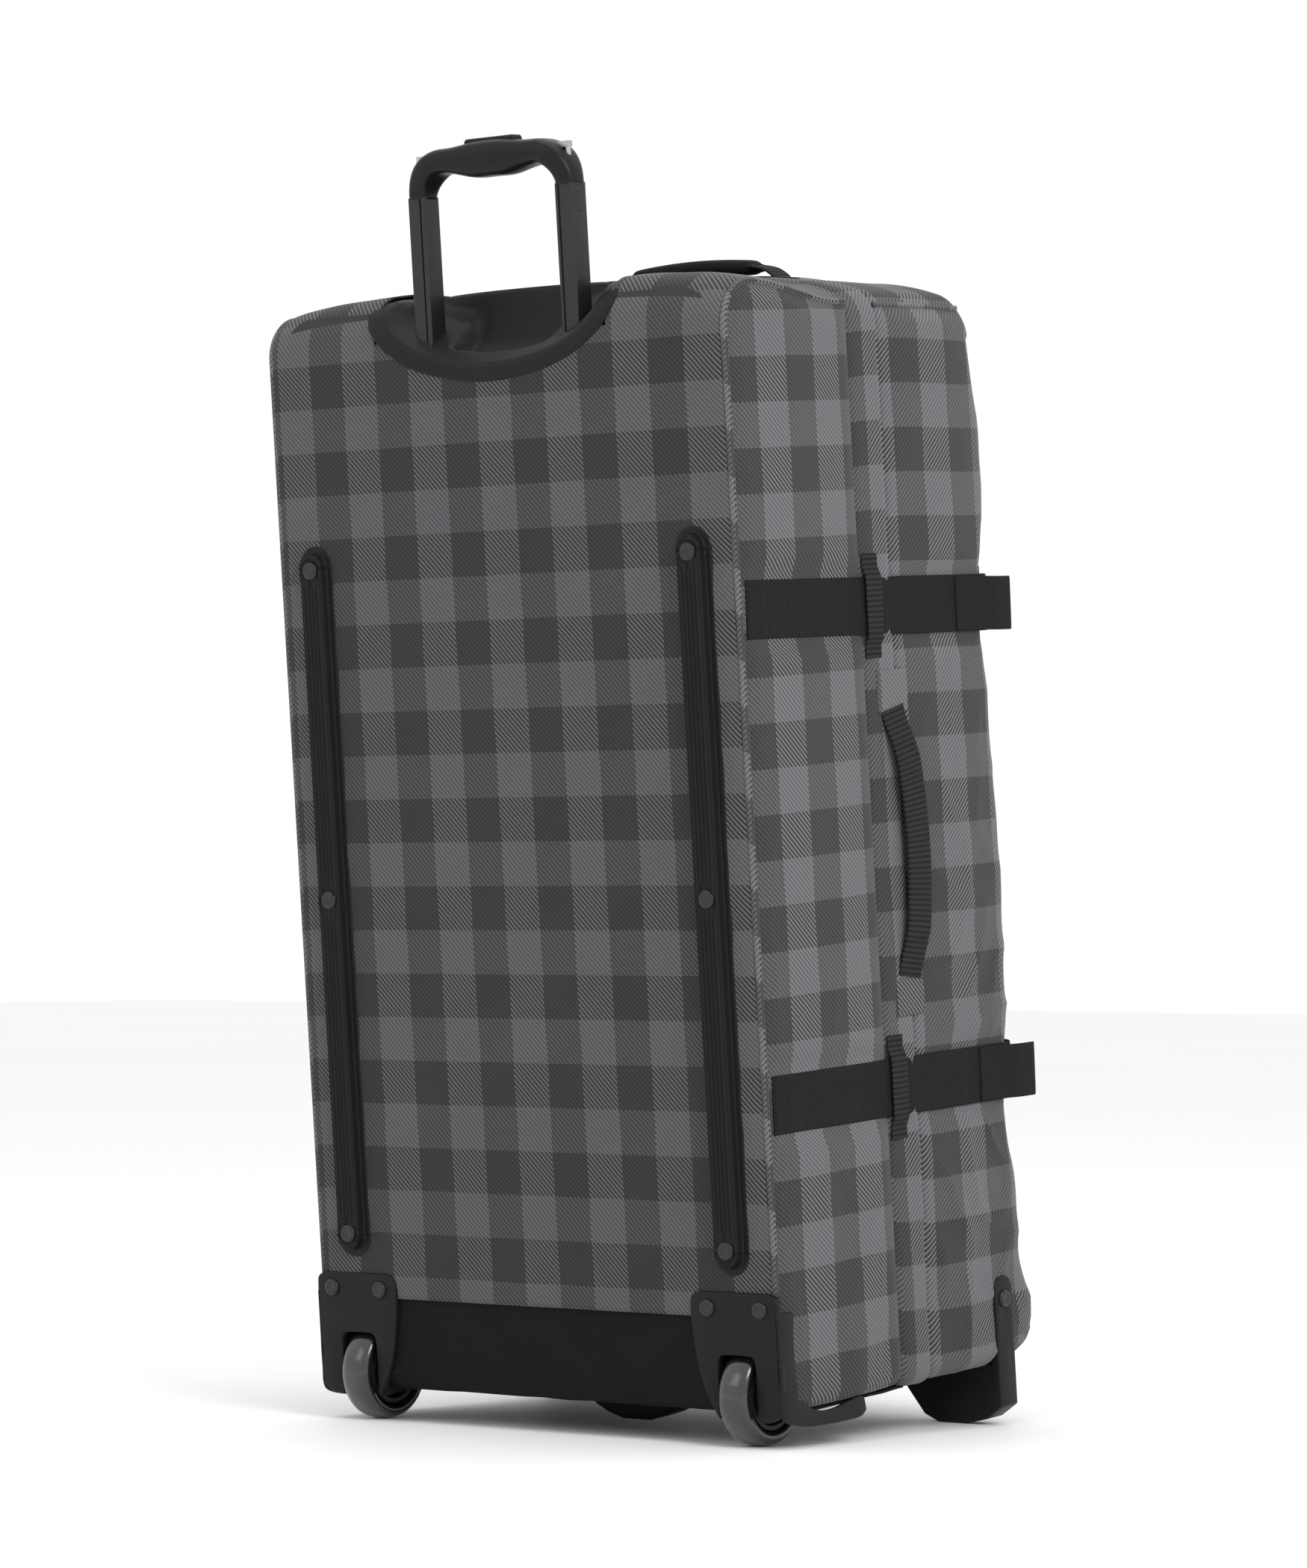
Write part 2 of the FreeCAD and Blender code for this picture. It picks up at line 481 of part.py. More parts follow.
housingRivets = []
axles = []
for side, sign in SIDES.items():
    centre = f"{sign}*wheelSpan/2"
    outerFace = f"({half} + seamGap)"
    inner = f"{sign}*(bodyWidth/2 + 1 - housingWide)"
    outer = f"{sign}*({outerFace} + wingWall)"
    corners = (inner, outer) if sign > 0 else (outer, inner)
    plate = slab(f"housing_plate_{side}", rectangle(*corners, "housingLow", "housingTop"), "-housingPlate",
                 "housingPlate - seamGap")
    plate = rounded(f"housing_plate_{side}", plate, top="8", low="12")
    wellWide = "wellWide + 2*wellWall"
    well = block(f"well_out_{side}", wellWide, "wellDeep + wellWall + seamGap", "wellTop + wellWall - housingLow",
                 f"{centre} - ({wellWide})/2", "-seamGap", "housingLow")
    wellHollow = block(f"well_in_{side}", "wellWide", "wellDeep", "wellTop + 20", f"{centre} - wellWide/2", "0",
                       "-20")
    slot = slab(f"wheel_slot_{side}", rectangle(f"{centre} - slotWide/2", f"{centre} + slotWide/2", "-20",
                                                "slotTop"), "-20", "21")
    slot = rounded(f"wheel_slot_{side}", slot, top="3")
    wingX = f"{outerFace}" if sign > 0 else f"-{outerFace} - wingWall"
    wing = block(f"wing_{side}", "wingWall", "wingDeep + housingPlate", "wingTop - runnerLow - 10", wingX,
                 "-housingPlate", "runnerLow + 10")
    runner = block(f"runner_{side}", "wingWall", "runnerDeep + housingPlate - 10", "runnerTop - runnerLow", wingX,
                   "-housingPlate + 10", "runnerLow")
    wing = fuse(f"wing_{side}", wing, runner)
    wing = fillet(f"wing_{side}", wing, "6",
                  lambda edge: runs(edge, "x") and edge.BoundBox.Center.z > value("wingTop") - 1)
    boltBore = rod(f"bolt_bore_{side}", "axleRadius + axleGap", "housingWide + 40", f"{centre} - (housingWide + 40)/2",
                   "wheelInset", "wheelRadius", axis="x")
    rivetBores = []
    for name, shift in (("inner", "-22"), ("outer", "22")):
        spot = f"{centre} + {sign}*({shift})"
        rivetBores.append(rod(f"housing_bore_{side}_{name}", "rivetShank + 0.05", "20", spot, "-10",
                              "housingTop - 11", axis="depth"))
        head = rod(f"housing_head_{side}_{name}", "rivetHead - 0.5", "2", spot, "-housingPlate - 2",
                   "housingTop - 11", axis="depth")
        shank = rod(f"housing_shank_{side}_{name}", "rivetShank", "housingPlate + 1 - seamGap", spot,
                    "-housingPlate - 1", "housingTop - 11", axis="depth")
        housingRivets.append(fuse(f"housing_rivet_{side}_{name}", head, shank))
    housing = fuse(f"housing_{side}", plate, well, wing)
    node(f"wheel_housing_{side}", cut(f"wheel_housing_{side}", housing, wellHollow, slot, boltBore, *rivetBores))
    axles.append(rod(f"axle_{side}", "axleRadius", "wellWide + 2*wellWall - 0.4",
                     f"{centre} - (wellWide + 2*wellWall - 0.4)/2", "wheelInset", "wheelRadius", axis="x"))

    edge = "wheelWide/2"
    crown = "(wheelRadius - hubRadius)"
    tyre = spun(f"tyre_{side}_ring", [(f"-{edge} + 2", "hubRadius"), (f"{edge} - 2", "hubRadius"),
                                      (edge, "hubRadius + 2"), (edge, f"hubRadius + {crown}*0.35"),
                                      (f"{edge}*0.86", f"hubRadius + {crown}*0.66"),
                                      (f"{edge}*0.58", f"hubRadius + {crown}*0.9"), (f"{edge}*0.25", "wheelRadius"),
                                      (f"-{edge}*0.25", "wheelRadius"), (f"-{edge}*0.58", f"hubRadius + {crown}*0.9"),
                                      (f"-{edge}*0.86", f"hubRadius + {crown}*0.66"),
                                      (f"-{edge}", f"hubRadius + {crown}*0.35"), (f"-{edge}", "hubRadius + 2")],
                centre, "wheelInset", "wheelRadius")
    node(f"tyre_{side}", tyre)
    hub = spun(f"hub_{side}_core", [("-hubWide/2", "bearingRadius"), ("hubWide/2", "bearingRadius"),
                                    ("hubWide/2", "bearingRadius + 3"), ("3", "bearingRadius + 4"),
                                    ("3", "hubRadius - 4"), ("hubWide/2", "hubRadius - 3"), ("hubWide/2", "hubRadius"),
                                    ("-hubWide/2", "hubRadius"), ("-hubWide/2", "hubRadius - 3"), ("-3", "hubRadius - 4"),
                                    ("-3", "bearingRadius + 4"), ("-hubWide/2", "bearingRadius + 3")],
               centre, "wheelInset", "wheelRadius")
    windows = []
    for count in range(5):
        turn = math.radians(72 * count)
        windows.append(rod(f"hub_window_{side}_{count}", "2.6", "hubWide", f"{centre} - hubWide/2",
                           f"wheelInset + (bearingRadius + hubRadius)/2*{math.sin(turn):.4f}",
                           f"wheelRadius + (bearingRadius + hubRadius)/2*{math.cos(turn):.4f}", axis="x"))
    node(f"hub_{side}", cut(f"hub_{side}", hub, *windows))
    bearings = []
    for name, shift in (("inner", "-hubWide/2"), ("outer", "hubWide/2 - bearingWide")):
        race = rod(f"race_{side}_{name}", "bearingRadius", "bearingWide", f"{centre} + {shift}", "wheelInset",
                   "wheelRadius", axis="x")
        bore = rod(f"race_bore_{side}_{name}", "axleRadius + axleGap", "bearingWide + 2", f"{centre} + {shift} - 1",
                   "wheelInset", "wheelRadius", axis="x")
        bearings.append(cut(f"bearing_{side}_{name}", race, bore))
    node(f"bearings_{side}", *bearings)
node("housing_rivets", *housingRivets)
node("axles", *axles)

# ---- front feet and the centre skid ----

leanSlope = math.tan(math.radians(value("lean")))
contactDepth = value("wheelInset") - value("wheelRadius") * math.sin(math.radians(value("lean")))
contactRise = value("wheelRadius") * (1 - math.cos(math.radians(value("lean"))))


def floor_level(depth):
    """Height of the ground, in the bag's own frame, under a given depth."""
    return contactRise - (value(depth) - contactDepth) * leanSlope


footRivets = []
for side, sign in SIDES.items():
    low = f"{floor_level('footInset'):.3f}"
    outline = [("bodyWidth/2 + seamGap", "footArmTop"), ("bodyWidth/2 + seamGap", "bodyLow - seamGap"),
               ("bodyWidth/2 - footReach", "bodyLow - seamGap"), ("bodyWidth/2 - footReach*0.82", "2"),
               ("bodyWidth/2 - footReach*0.68", f"{low} + 5"), ("bodyWidth/2 - footReach*0.55", low),
               ("bodyWidth/2 - footReach*0.28", low), ("bodyWidth/2 - footReach*0.08", f"{low} + 4"),
               ("bodyWidth/2 + seamGap + footArmWall", f"{low} + 13"),
               ("bodyWidth/2 + seamGap + footArmWall", "footArmTop")]
    if sign < 0:
        outline = [(f"-({x})", z) for x, z in outline]
    foot = slab(f"foot_{side}", outline, "footInset", "footDeep")
    doc.recompute()
    foot = fillet(f"foot_{side}", foot, "footDeep/2 - 0.5",
                  lambda edge: runs(edge, "x") and edge.BoundBox.Center.z > value("footArmTop") - 1)
    innerX = f"{sign}*(bodyWidth/2 - 20)" if sign > 0 else "-(bodyWidth/2 + 20)"
    bore = rod(f"foot_bore_{side}", "rivetShank + 0.05", "40", innerX, "footInset + footDeep/2", "footRivet", axis="x")
    node(f"front_foot_{side}", cut(f"front_foot_{side}", foot, bore))
    headX = "bodyWidth/2 + seamGap + footArmWall" if sign > 0 else "-(bodyWidth/2 + seamGap + footArmWall + 2)"
    shankX = "bodyWidth/2 + seamGap" if sign > 0 else "-(bodyWidth/2 + seamGap + footArmWall + 1)"
    head = rod(f"foot_head_{side}", "rivetHead", "2", headX, "footInset + footDeep/2", "footRivet", axis="x")
    shank = rod(f"foot_shank_{side}", "rivetShank", "footArmWall + 1", shankX, "footInset + footDeep/2",
                "footRivet", axis="x")
    footRivets.append(fuse(f"foot_rivet_{side}", head, shank))
node("foot_rivets", *footRivets)

skidLow = f"{floor_level('skidInset') + value('skidRise'):.3f}"
skid = slab("skid_bowl", [("-skidHalf", "bodyLow - seamGap"), ("-skidHalf*0.86", "6"), ("-skidHalf*0.6", f"{skidLow} + 4"),
                          ("-skidHalf*0.28", skidLow), ("skidHalf*0.28", skidLow), ("skidHalf*0.6", f"{skidLow} + 4"),
                          ("skidHalf*0.86", "6"), ("skidHalf", "bodyLow - seamGap")], "skidInset", "skidDeep")
node("centre_skid", skid)

# ---- compression straps, their loops and side-release buckles ----

corners, sockets, loops = [], [], []
for level, height in (("upper", "upperStrap"), ("lower", "lowerStrap")):
    low = f"{height} - strapWide/2"
    for side, sign in SIDES.items():
        tag = f"{level}_{side}"
        arcCentre = f"({frontFace} - frontRound)"
        skinX = f"{half} + seamGap" if sign > 0 else f"-({half} + seamGap + strapThick)"
        node(f"strap_{tag}", block(f"strap_{tag}_web", "strapThick", f"{arcCentre} - strapStart - seamGap", "strapWide",
                                   skinX, "strapStart", low))
        spotX = f"{sign}*({half} - frontRound)"
        bigArc = rod(f"corner_out_{tag}", "frontRound + seamGap + strapThick", "strapWide", spotX, arcCentre, low)
        smallArc = rod(f"corner_in_{tag}", "frontRound + seamGap", "strapWide + 2", spotX, arcCentre, f"{low} - 1")
        quarterX = spotX if sign > 0 else f"{spotX} - 60"
        quarter = block(f"corner_quarter_{tag}", "60", "60", "strapWide + 4", quarterX, arcCentre, f"{low} - 2")
        corners.append(common(f"corner_{tag}", cut(f"corner_band_{tag}", bigArc, smallArc), quarter))

        start = f"{half} - frontRound - seamGap"
        socketX = f"{start} - socketWide" if sign > 0 else f"-({start})"
        shell = block(f"socket_{tag}", "socketWide", "buckleThick", "buckleTall", socketX,
                      f"{frontFace} + seamGap", f"{height} - buckleTall/2")
        shell = fillet(f"socket_{tag}", shell, "3", lambda edge: runs(edge, "depth"))
        mouthX = f"{socketX} - 2" if sign > 0 else f"{socketX} + socketWide - prongLong - 1"
        mouth = block(f"mouth_{tag}", "prongLong + 3", "buckleThick - 4", "buckleTall - 10", mouthX,
                      f"{frontFace} + seamGap + 2", f"{height} - buckleTall/2 + 5")
        sockets.append(cut(f"socket_shell_{tag}", shell, mouth))

        plugStart = f"{start} - socketWide - 0.3"
        plugX = f"{plugStart} - plugWide" if sign > 0 else f"-({plugStart})"
        head = block(f"plug_{tag}", "plugWide", "buckleThick", "buckleTall", plugX, f"{frontFace} + seamGap",
                     f"{height} - buckleTall/2")
        head = fillet(f"plug_{tag}", head, "3", lambda edge: runs(edge, "depth"))
        prongX = f"{plugStart} - 1" if sign > 0 else f"-({plugStart} + prongLong)"
        prongs = [block(f"prong_{tag}_{name}", "prongLong + 1", "buckleThick - 5", "7", prongX,
                        f"{frontFace} + seamGap + 2.5", f"{height} + {shift} - 3.5")
                  for name, shift in (("low", "-13"), ("middle", "0"), ("top", "13"))]
        node(f"buckle_plug_{tag}", fuse(f"buckle_plug_{tag}", head, *prongs))

        loopX = f"{half} + 2*seamGap + strapThick" if sign > 0 else f"-({half} + 2*seamGap + 2*strapThick)"
        loops.append(block(f"loop_{tag}", "strapThick", "loopWide", "loopTall", loopX, "loopInset",
                           f"{height} - loopTall/2"))
node("strap_corners", *corners)
node("buckle_sockets", *sockets)
node("strap_loops", *loops)

# ---- side grab handle: a bowed strip of webbing sewn at both ends ----

near = f"-({half} + seamGap)"
grab = slab("grab_strip", [(near, "grabLow"), (near, "grabLow + 26"), (f"{near} - grabBow", "grabLow + 46"),
                           (f"{near} - grabBow", "grabTop - 46"), (near, "grabTop - 26"), (near, "grabTop"),
                           (f"{near} - 2.4", "grabTop"), (f"{near} - 2.4", "grabTop - 26"),
                           (f"{near} - grabBow - 2.4", "grabTop - 46"), (f"{near} - grabBow - 2.4", "grabLow + 46"),
                           (f"{near} - 2.4", "grabLow + 26"), (f"{near} - 2.4", "grabLow")],
            "grabInset", "grabWide")
node("side_handle", grab)

# ---- top carry handle: padded bar on webbing, swinging on two sewn anchors ----

axisZ = "bodyTop + carryAxis"
padLow = f"({axisZ} + carryRise - 2)"
pad = slab("carry_bar", rectangle("-carryPad", "carryPad", padLow, f"{padLow} + carryThick"),
           "carryInset - carryWide/2", "carryWide")
pad = fillet("carry_bar", pad, "carryThick/2 - 0.5", lambda edge: runs(edge, "x"))
node("carry_pad", pad)
webbing = []
for side, sign in SIDES.items():
    outline = [(f"{sign}*(carryPad + 0.3)", f"{padLow} + 3"), (f"{sign}*(carryPad + 0.3)", f"{padLow} + 6"),
               (f"{sign}*(carryPad + 8)", f"{padLow} + 5"), (f"{sign}*(carryHalf + 2)", f"{axisZ} + 1"),
               (f"{sign}*(carryHalf + 2)", f"{axisZ} - 1"), (f"{sign}*(carryHalf - 2)", f"{axisZ} - 1"),
               (f"{sign}*(carryPad + 8)", f"{padLow} + 2")]
    webbing.append(slab(f"carry_web_{side}", outline, "carryInset - carryWide/2 + 2", "carryWide - 4"))
node("carry_webbing", *webbing)
node("carry_anchors", *[block(f"carry_anchor_{side}", "16", "carryWide + 4", "1.2",
                              f"{sign}*(carryHalf + 2.3 + 8) - 8", "carryInset - carryWide/2 - 2", "bodyTop + seamGap")
                        for side, sign in SIDES.items()])

# ---- zip over the top: teeth, two sliders and their lockable pulls ----

node("zip_track", block("zip_teeth", "2*zipHalf", "5", "1", "-zipHalf", "zipInset - 2.5", "bodyTop - 1 + 0.1"))
for side, sign in SIDES.items():
    shoe = block(f"slider_shoe_{side}", "sliderLong", "sliderWide", "sliderTall - 2.8",
                 f"{sign}*sliderPlace - sliderLong/2", "zipInset - sliderWide/2", "bodyTop + seamGap")
    bridge = block(f"slider_bridge_{side}", "sliderLong - 6", "3", "3", f"{sign}*sliderPlace - sliderLong/2 + 3",
                   "zipInset - 1.5", "bodyTop + seamGap + sliderTall - 3")
    pinHole = rod(f"slider_eye_{side}", "pinRadius + 0.05", "20", f"{sign}*(sliderPlace + 2)", "zipInset - 10",
                  "bodyTop + seamGap + sliderTall - 1.4", axis="depth")
    node(f"zip_slider_{side}", cut(f"zip_slider_{side}", fuse(f"zip_slider_{side}", shoe, bridge), pinHole))
    level = "bodyTop + seamGap + sliderTall - 1.4"
    pinBar = rod(f"pull_pin_{side}", "pinRadius", "pullWide - 1", f"{sign}*(sliderPlace + 2)",
                 "zipInset - pullWide/2 + 0.5", level, axis="depth")
    loopX = "sliderPlace + 1" if sign > 0 else "-(sliderPlace + 1 + pullLong)"
    tab = block(f"pull_tab_{side}", "pullLong", "pullWide", "pullThick", loopX, "zipInset - pullWide/2",
                f"{level} - pullThick/2")
    eyeX = f"sliderPlace - 3" if sign > 0 else "-(sliderPlace - 3 + 9)"
    tabEye = block(f"pull_eye_{side}", "9", "pullWide - 3", "10", eyeX, "zipInset - (pullWide - 3)/2", f"{level} - 5")
    tabLoop = block(f"pull_loop_{side}", "pullLong - 12", "pullWide - 4", "10",
                    "sliderPlace + 9" if sign > 0 else "-(sliderPlace + 9 + pullLong - 12)",
                    "zipInset - (pullWide - 4)/2", f"{level} - 5")
    node(f"zip_pull_{side}", fuse(f"zip_pull_{side}", cut(f"pull_frame_{side}", tab, tabEye, tabLoop), pinBar))

doc.recompute()
broken = [o.Label for o in doc.Objects if "Invalid" in o.State or "Error" in o.State]
if broken:
    raise RuntimeError(f"failed objects: {broken}")

# ---- lean the bag back and put the origin on the ground, under the middle of its outline ----

turn = FreeCAD.Rotation(FreeCAD.Vector(1, 0, 0), -value("lean"))
contact = turn.multVec(FreeCAD.Vector(0, -contactDepth, contactRise))
for group in NODES.values():
    group.Placement = FreeCAD.Placement(FreeCAD.Vector(0, 0, -contact.z), turn)
doc.recompute()
outline = FreeCAD.BoundBox()
for group in NODES.values():
    outline.add(group.Shape.optimalBoundingBox(False, False))
shift = FreeCAD.Vector(0, -(outline.YMin + outline.YMax) / 2, -contact.z)
for group in NODES.values():
    group.Placement = FreeCAD.Placement(shift, turn)
doc.recompute()

for label, group in NODES.items():
    shape = group.Shape
    if shape.isNull() or not shape.isValid() or not shape.Solids:
        raise RuntimeError(f"{label} is not a valid solid")

os.makedirs("parts", exist_ok=True)
for label, group in NODES.items():
    group.Shape.exportStep(f"parts/{label}.step")
print("nodes", len(NODES))
print("shift", [round(number, 4) for number in shift], "lean", value("lean"))
print("size", round(outline.XLength, 2), round(outline.YLength, 2), round(outline.ZLength, 2),
      "lowest", round(outline.ZMin, 4))
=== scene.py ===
import json
import math

import bmesh
import bpy
import numpy as np
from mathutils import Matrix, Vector


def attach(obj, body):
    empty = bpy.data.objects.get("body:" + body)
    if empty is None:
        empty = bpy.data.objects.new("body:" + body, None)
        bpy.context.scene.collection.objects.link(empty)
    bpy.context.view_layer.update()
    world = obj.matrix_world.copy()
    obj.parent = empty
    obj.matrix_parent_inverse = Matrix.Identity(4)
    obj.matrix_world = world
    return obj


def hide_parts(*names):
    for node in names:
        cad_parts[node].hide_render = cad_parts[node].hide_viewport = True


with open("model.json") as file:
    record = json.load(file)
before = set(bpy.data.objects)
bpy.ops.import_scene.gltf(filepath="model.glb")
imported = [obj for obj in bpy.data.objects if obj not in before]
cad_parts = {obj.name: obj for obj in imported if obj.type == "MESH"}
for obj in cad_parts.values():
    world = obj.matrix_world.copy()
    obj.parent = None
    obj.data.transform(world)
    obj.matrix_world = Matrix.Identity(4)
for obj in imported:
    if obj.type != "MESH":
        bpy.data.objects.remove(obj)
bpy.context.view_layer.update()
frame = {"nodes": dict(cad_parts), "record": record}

# The bag leans back, so pieces are worked out in the bag's own directions, in millimetres:
# x across, depth forward from the back panel, height up along it. toRow turns them into metres in the
# frame.
behaviour = frame["record"]["behaviour"]
joints = {joint["name"]: joint for joint in behaviour["joints"]}
upWay = np.array(joints["handle_slide"]["axis"], float)
frontWay = np.array([0, -upWay[2], upWay[1]])
acrossWay = np.array([1.0, 0, 0])
carryAxis = {"depth": 0.228, "height": 0.777}
bagZero = (np.array(joints["carry_handle_swing"]["pos_m"]) - carryAxis["depth"] * frontWay
           - carryAxis["height"] * upWay)


def toRow(points):
    # metres = zero + x * across + depth * front + height * up
    p = np.asarray(points, float) / 1000
    return bagZero + p[..., 0:1] * acrossWay + p[..., 1:2] * frontWay + p[..., 2:3] * upWay


bag = {"half": 200, "low": 24, "backRound": 28, "gusset": 132, "band": 166, "face": 286, "frontRound": 20,
       "lowerTop": 90, "sideEdgeBack": 768, "sideEdgeMid": 754, "sideEdgeFront": 751, "crownBack": 7,
       "crownFront": 20}

wheelLine = 167  # how far out the wheels and the skid rails stand


def smooth(t):
    # the smooth step 3t^2 - 2t^3 between 0 and 1
    t = np.clip(t, 0, 1)
    return t * t * (3 - 2 * t)


def ripple(a, b, seed):
    # a sum of five crossing sine waves: soft, uneven, and the same each time
    rng = np.random.default_rng(seed)
    total = 0
    for wave in range(5):
        angle, length, phase = rng.uniform(0, math.tau), rng.uniform(28, 95), rng.uniform(0, math.tau)
        total = total + np.sin((a * math.cos(angle) + b * math.sin(angle)) / length * math.tau + phase)
    return total / 5


def topHeight(x, depth):
    # the top sags along the side edges and stays full in the middle: edge + crown * (1 - |x/half|^5)
    depth = np.asarray(depth, float)
    edge = bag["sideEdgeBack"] + (bag["sideEdgeMid"] - bag["sideEdgeBack"]) * smooth((depth - 28) / 95)
    edge = edge + (bag["sideEdgeFront"] - bag["sideEdgeMid"]) * smooth((depth - 170) / 100)
    crown = bag["crownBack"] + (bag["crownFront"] - bag["crownBack"]) * smooth(depth / 125)
    return edge + crown * (1 - np.clip(np.abs(x) / bag["half"], 0, 1) ** 5)


strapRun = {"upper": (553, 546), "lower": (228, 223)}


def pinch(depth, height):
    # 1 on free cloth, near 0 under the two compression straps
    free = 1
    for rear, front in strapRun.values():
        away = np.abs(height - (rear + (front - rear) * depth / bag["face"]))
        free = free - 0.94 * smooth((36 - away) / 14)
    return free


def crease(a, b, seed):
    # thin ridges along the lines where a ripple crosses nought: (1 - |ripple|)^4
    return (1 - np.clip(np.abs(ripple(a, b, seed)) * 1.6, 0, 1)) ** 4


def sideOut(depth, height):
    # how far a side stands out beyond the half width: a low pillow between the seams, held in by the straps
    rear = 4.5 * np.sin(np.pi * np.clip(depth / bag["gusset"], 0, 1)) ** 0.8
    front = 4.5 * np.sin(np.pi * np.clip((depth - bag["band"]) / 104, 0, 1)) ** 0.8
    free = pinch(depth, height)
    lowWave = ripple(depth * 1.3, height, 4) * 1.6 * (1 - smooth((height - 60) / 240))
    wave = lowWave + ripple(depth, height * 0.7, 9) * 0.7
    wave = wave + crease(depth * 1.5, height * 0.8,
                         14) * (0.5 + 1.5 * smooth((depth - 166) / 30)) * (1.2
                                 - smooth((height - 200) / 350))
    inside = np.minimum(smooth(depth / 14), smooth((topHeight(200, depth) - height) / 16))
    seam = 1 - np.exp(-((depth - bag["gusset"]) / 5) ** 2)
    return ((rear + front) * free + wave * (0.12 + 0.88 * free)) * inside * seam


# ---- meshes ----


def gridMesh(name, points, uv=None, closeU=False, closeV=False, flip=False, keep=None, weld=0.0):
    # neighbours on a grid of points joined into four-sided faces; uv is in metres of cloth
    nu, nv = points.shape[:2]
    rows, cols = (nu if closeU else nu - 1), (nv if closeV else nv - 1)
    i, j = np.meshgrid(np.arange(rows), np.arange(cols), indexing="ij")
    ni, nj = (i + 1) % nu, (j + 1) % nv
    faces = np.stack([i * nv + j, ni * nv + j, ni * nv + nj, i * nv + nj], -1)
    if keep is not None:
        faces = faces[keep]
    faces = faces.reshape(-1, 4)
    if flip:
        faces = faces[:, ::-1]
    mesh = bpy.data.meshes.new(name)
    mesh.from_pydata(toRow(points).reshape(-1, 3).tolist(), [], faces.tolist())
    if uv is not None:
        layer = mesh.uv_layers.new(name="cloth")
        layer.data.foreach_set("uv", (np.asarray(uv, float) / 1000).reshape(-1,
                2)[faces.reshape(-1)].ravel())
    mesh.polygons.foreach_set("use_smooth", np.ones(len(mesh.polygons), bool))
    mesh.validate()
    if weld:
        mergeDoubles(mesh, weld)
    return mesh


def mergeDoubles(mesh, distance):
    work = bmesh.new()
    work.from_mesh(mesh)
    bmesh.ops.remove_doubles(work, verts=work.verts, dist=distance)
    loose = [v for v in work.verts if not v.link_faces]
    bmesh.ops.delete(work, geom=loose, context="VERTS")
    work.to_mesh(mesh)
    work.free()


def joined(name, meshes):
    # several meshes made one, each with its own faces and uv kept
    work = bmesh.new()
    for mesh in meshes:
        work.from_mesh(mesh)
    out = bpy.data.meshes.new(name)
    work.to_mesh(out)
    work.free()
    for mesh in meshes:
        bpy.data.meshes.remove(mesh)
    return out


def piece(name, mesh, material, body, replaces=(), thick=0.0):
    obj = bpy.data.objects.new(name, mesh)
    bpy.context.scene.collection.objects.link(obj)
    mesh.materials.clear()
    mesh.materials.append(material)
    if thick:
        wall = obj.modifiers.new("wall", "SOLIDIFY")
        wall.thickness, wall.offset = thick / 1000, -1
    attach(obj, body)
    if replaces:
        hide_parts(*replaces)
    return obj


def roundBar(half, thick, count, power=4.0):
    # a flattened ring, the superellipse |a/half|^p + |b/thick|^p = 1
    t = np.linspace(0, math.tau, count, endpoint=False)
    c, s = np.cos(t), np.sin(t)
    return np.stack([half * np.sign(c) * np.abs(c) ** (2 / power),
                     thick * np.sign(s) * np.abs(s) ** (2 / power)], -1)


def swept(name, path, side, sections, capped=True):
    # a ring carried along a path: point = path + a * side + b * (tangent x side); uv runs along and across
    path, side = np.asarray(path, float), np.broadcast_to(np.asarray(side, float), np.shape(path))
    tangent = np.gradient(path, axis=0)
    tangent /= np.linalg.norm(tangent, axis=1, keepdims=True)
    other = np.cross(tangent, side)
    other /= np.linalg.norm(other, axis=1, keepdims=True)
    side = np.cross(other, tangent)
    sections = np.broadcast_to(sections, (len(path),) + np.shape(sections)[-2:])
    points = path[:, None] + sections[..., 0:1] * side[:, None] + sections[..., 1:2] * other[:, None]
    along = np.concatenate([[0], np.cumsum(np.linalg.norm(np.diff(path, axis=0), axis=1))])
    uv = np.stack(np.broadcast_arrays(along[:, None], sections[..., 0]), -1)
    if capped:
        centres = path[[0, -1]][:, None] + 0 * points[:2]
        points = np.concatenate([centres[:1], points, centres[1:]])
        uv = np.concatenate([uv[:1], uv, uv[-1:]])
    mesh = gridMesh(name, points, uv, closeV=True, weld=1e-6 if capped else 0)
    outward(mesh)
    return mesh


def outward(mesh):
    work = bmesh.new()
    work.from_mesh(mesh)
    bmesh.ops.recalc_face_normals(work, faces=work.faces)
    work.to_mesh(mesh)
    work.free()


def smoothPath(corners, count):
    # a Catmull-Rom curve through given corners, then spaced evenly
    c = np.asarray(corners, float)
    c = np.concatenate([2 * c[:1] - c[1:2], c, 2 * c[-1:] - c[-2:-1]])
    t = np.linspace(0, 1, 24, endpoint=False)[:, None]
    runs = []
    for a, b, d, e in zip(c[:-3], c[1:-2], c[2:-1], c[3:]):
        runs.append(0.5 * (2 * b + (d - a) * t + (2 * a - 5 * b + 4 * d - e) * t**2
                           + (3 * b - a - 3 * d + e) * t**3))
    line = np.concatenate(runs + [c[-2:-1]])
    length = np.concatenate([[0], np.cumsum(np.linalg.norm(np.diff(line, axis=0), axis=1))])
    even = np.linspace(0, length[-1], count)
    return np.stack([np.interp(even, length, line[:, k]) for k in range(line.shape[1])], -1)


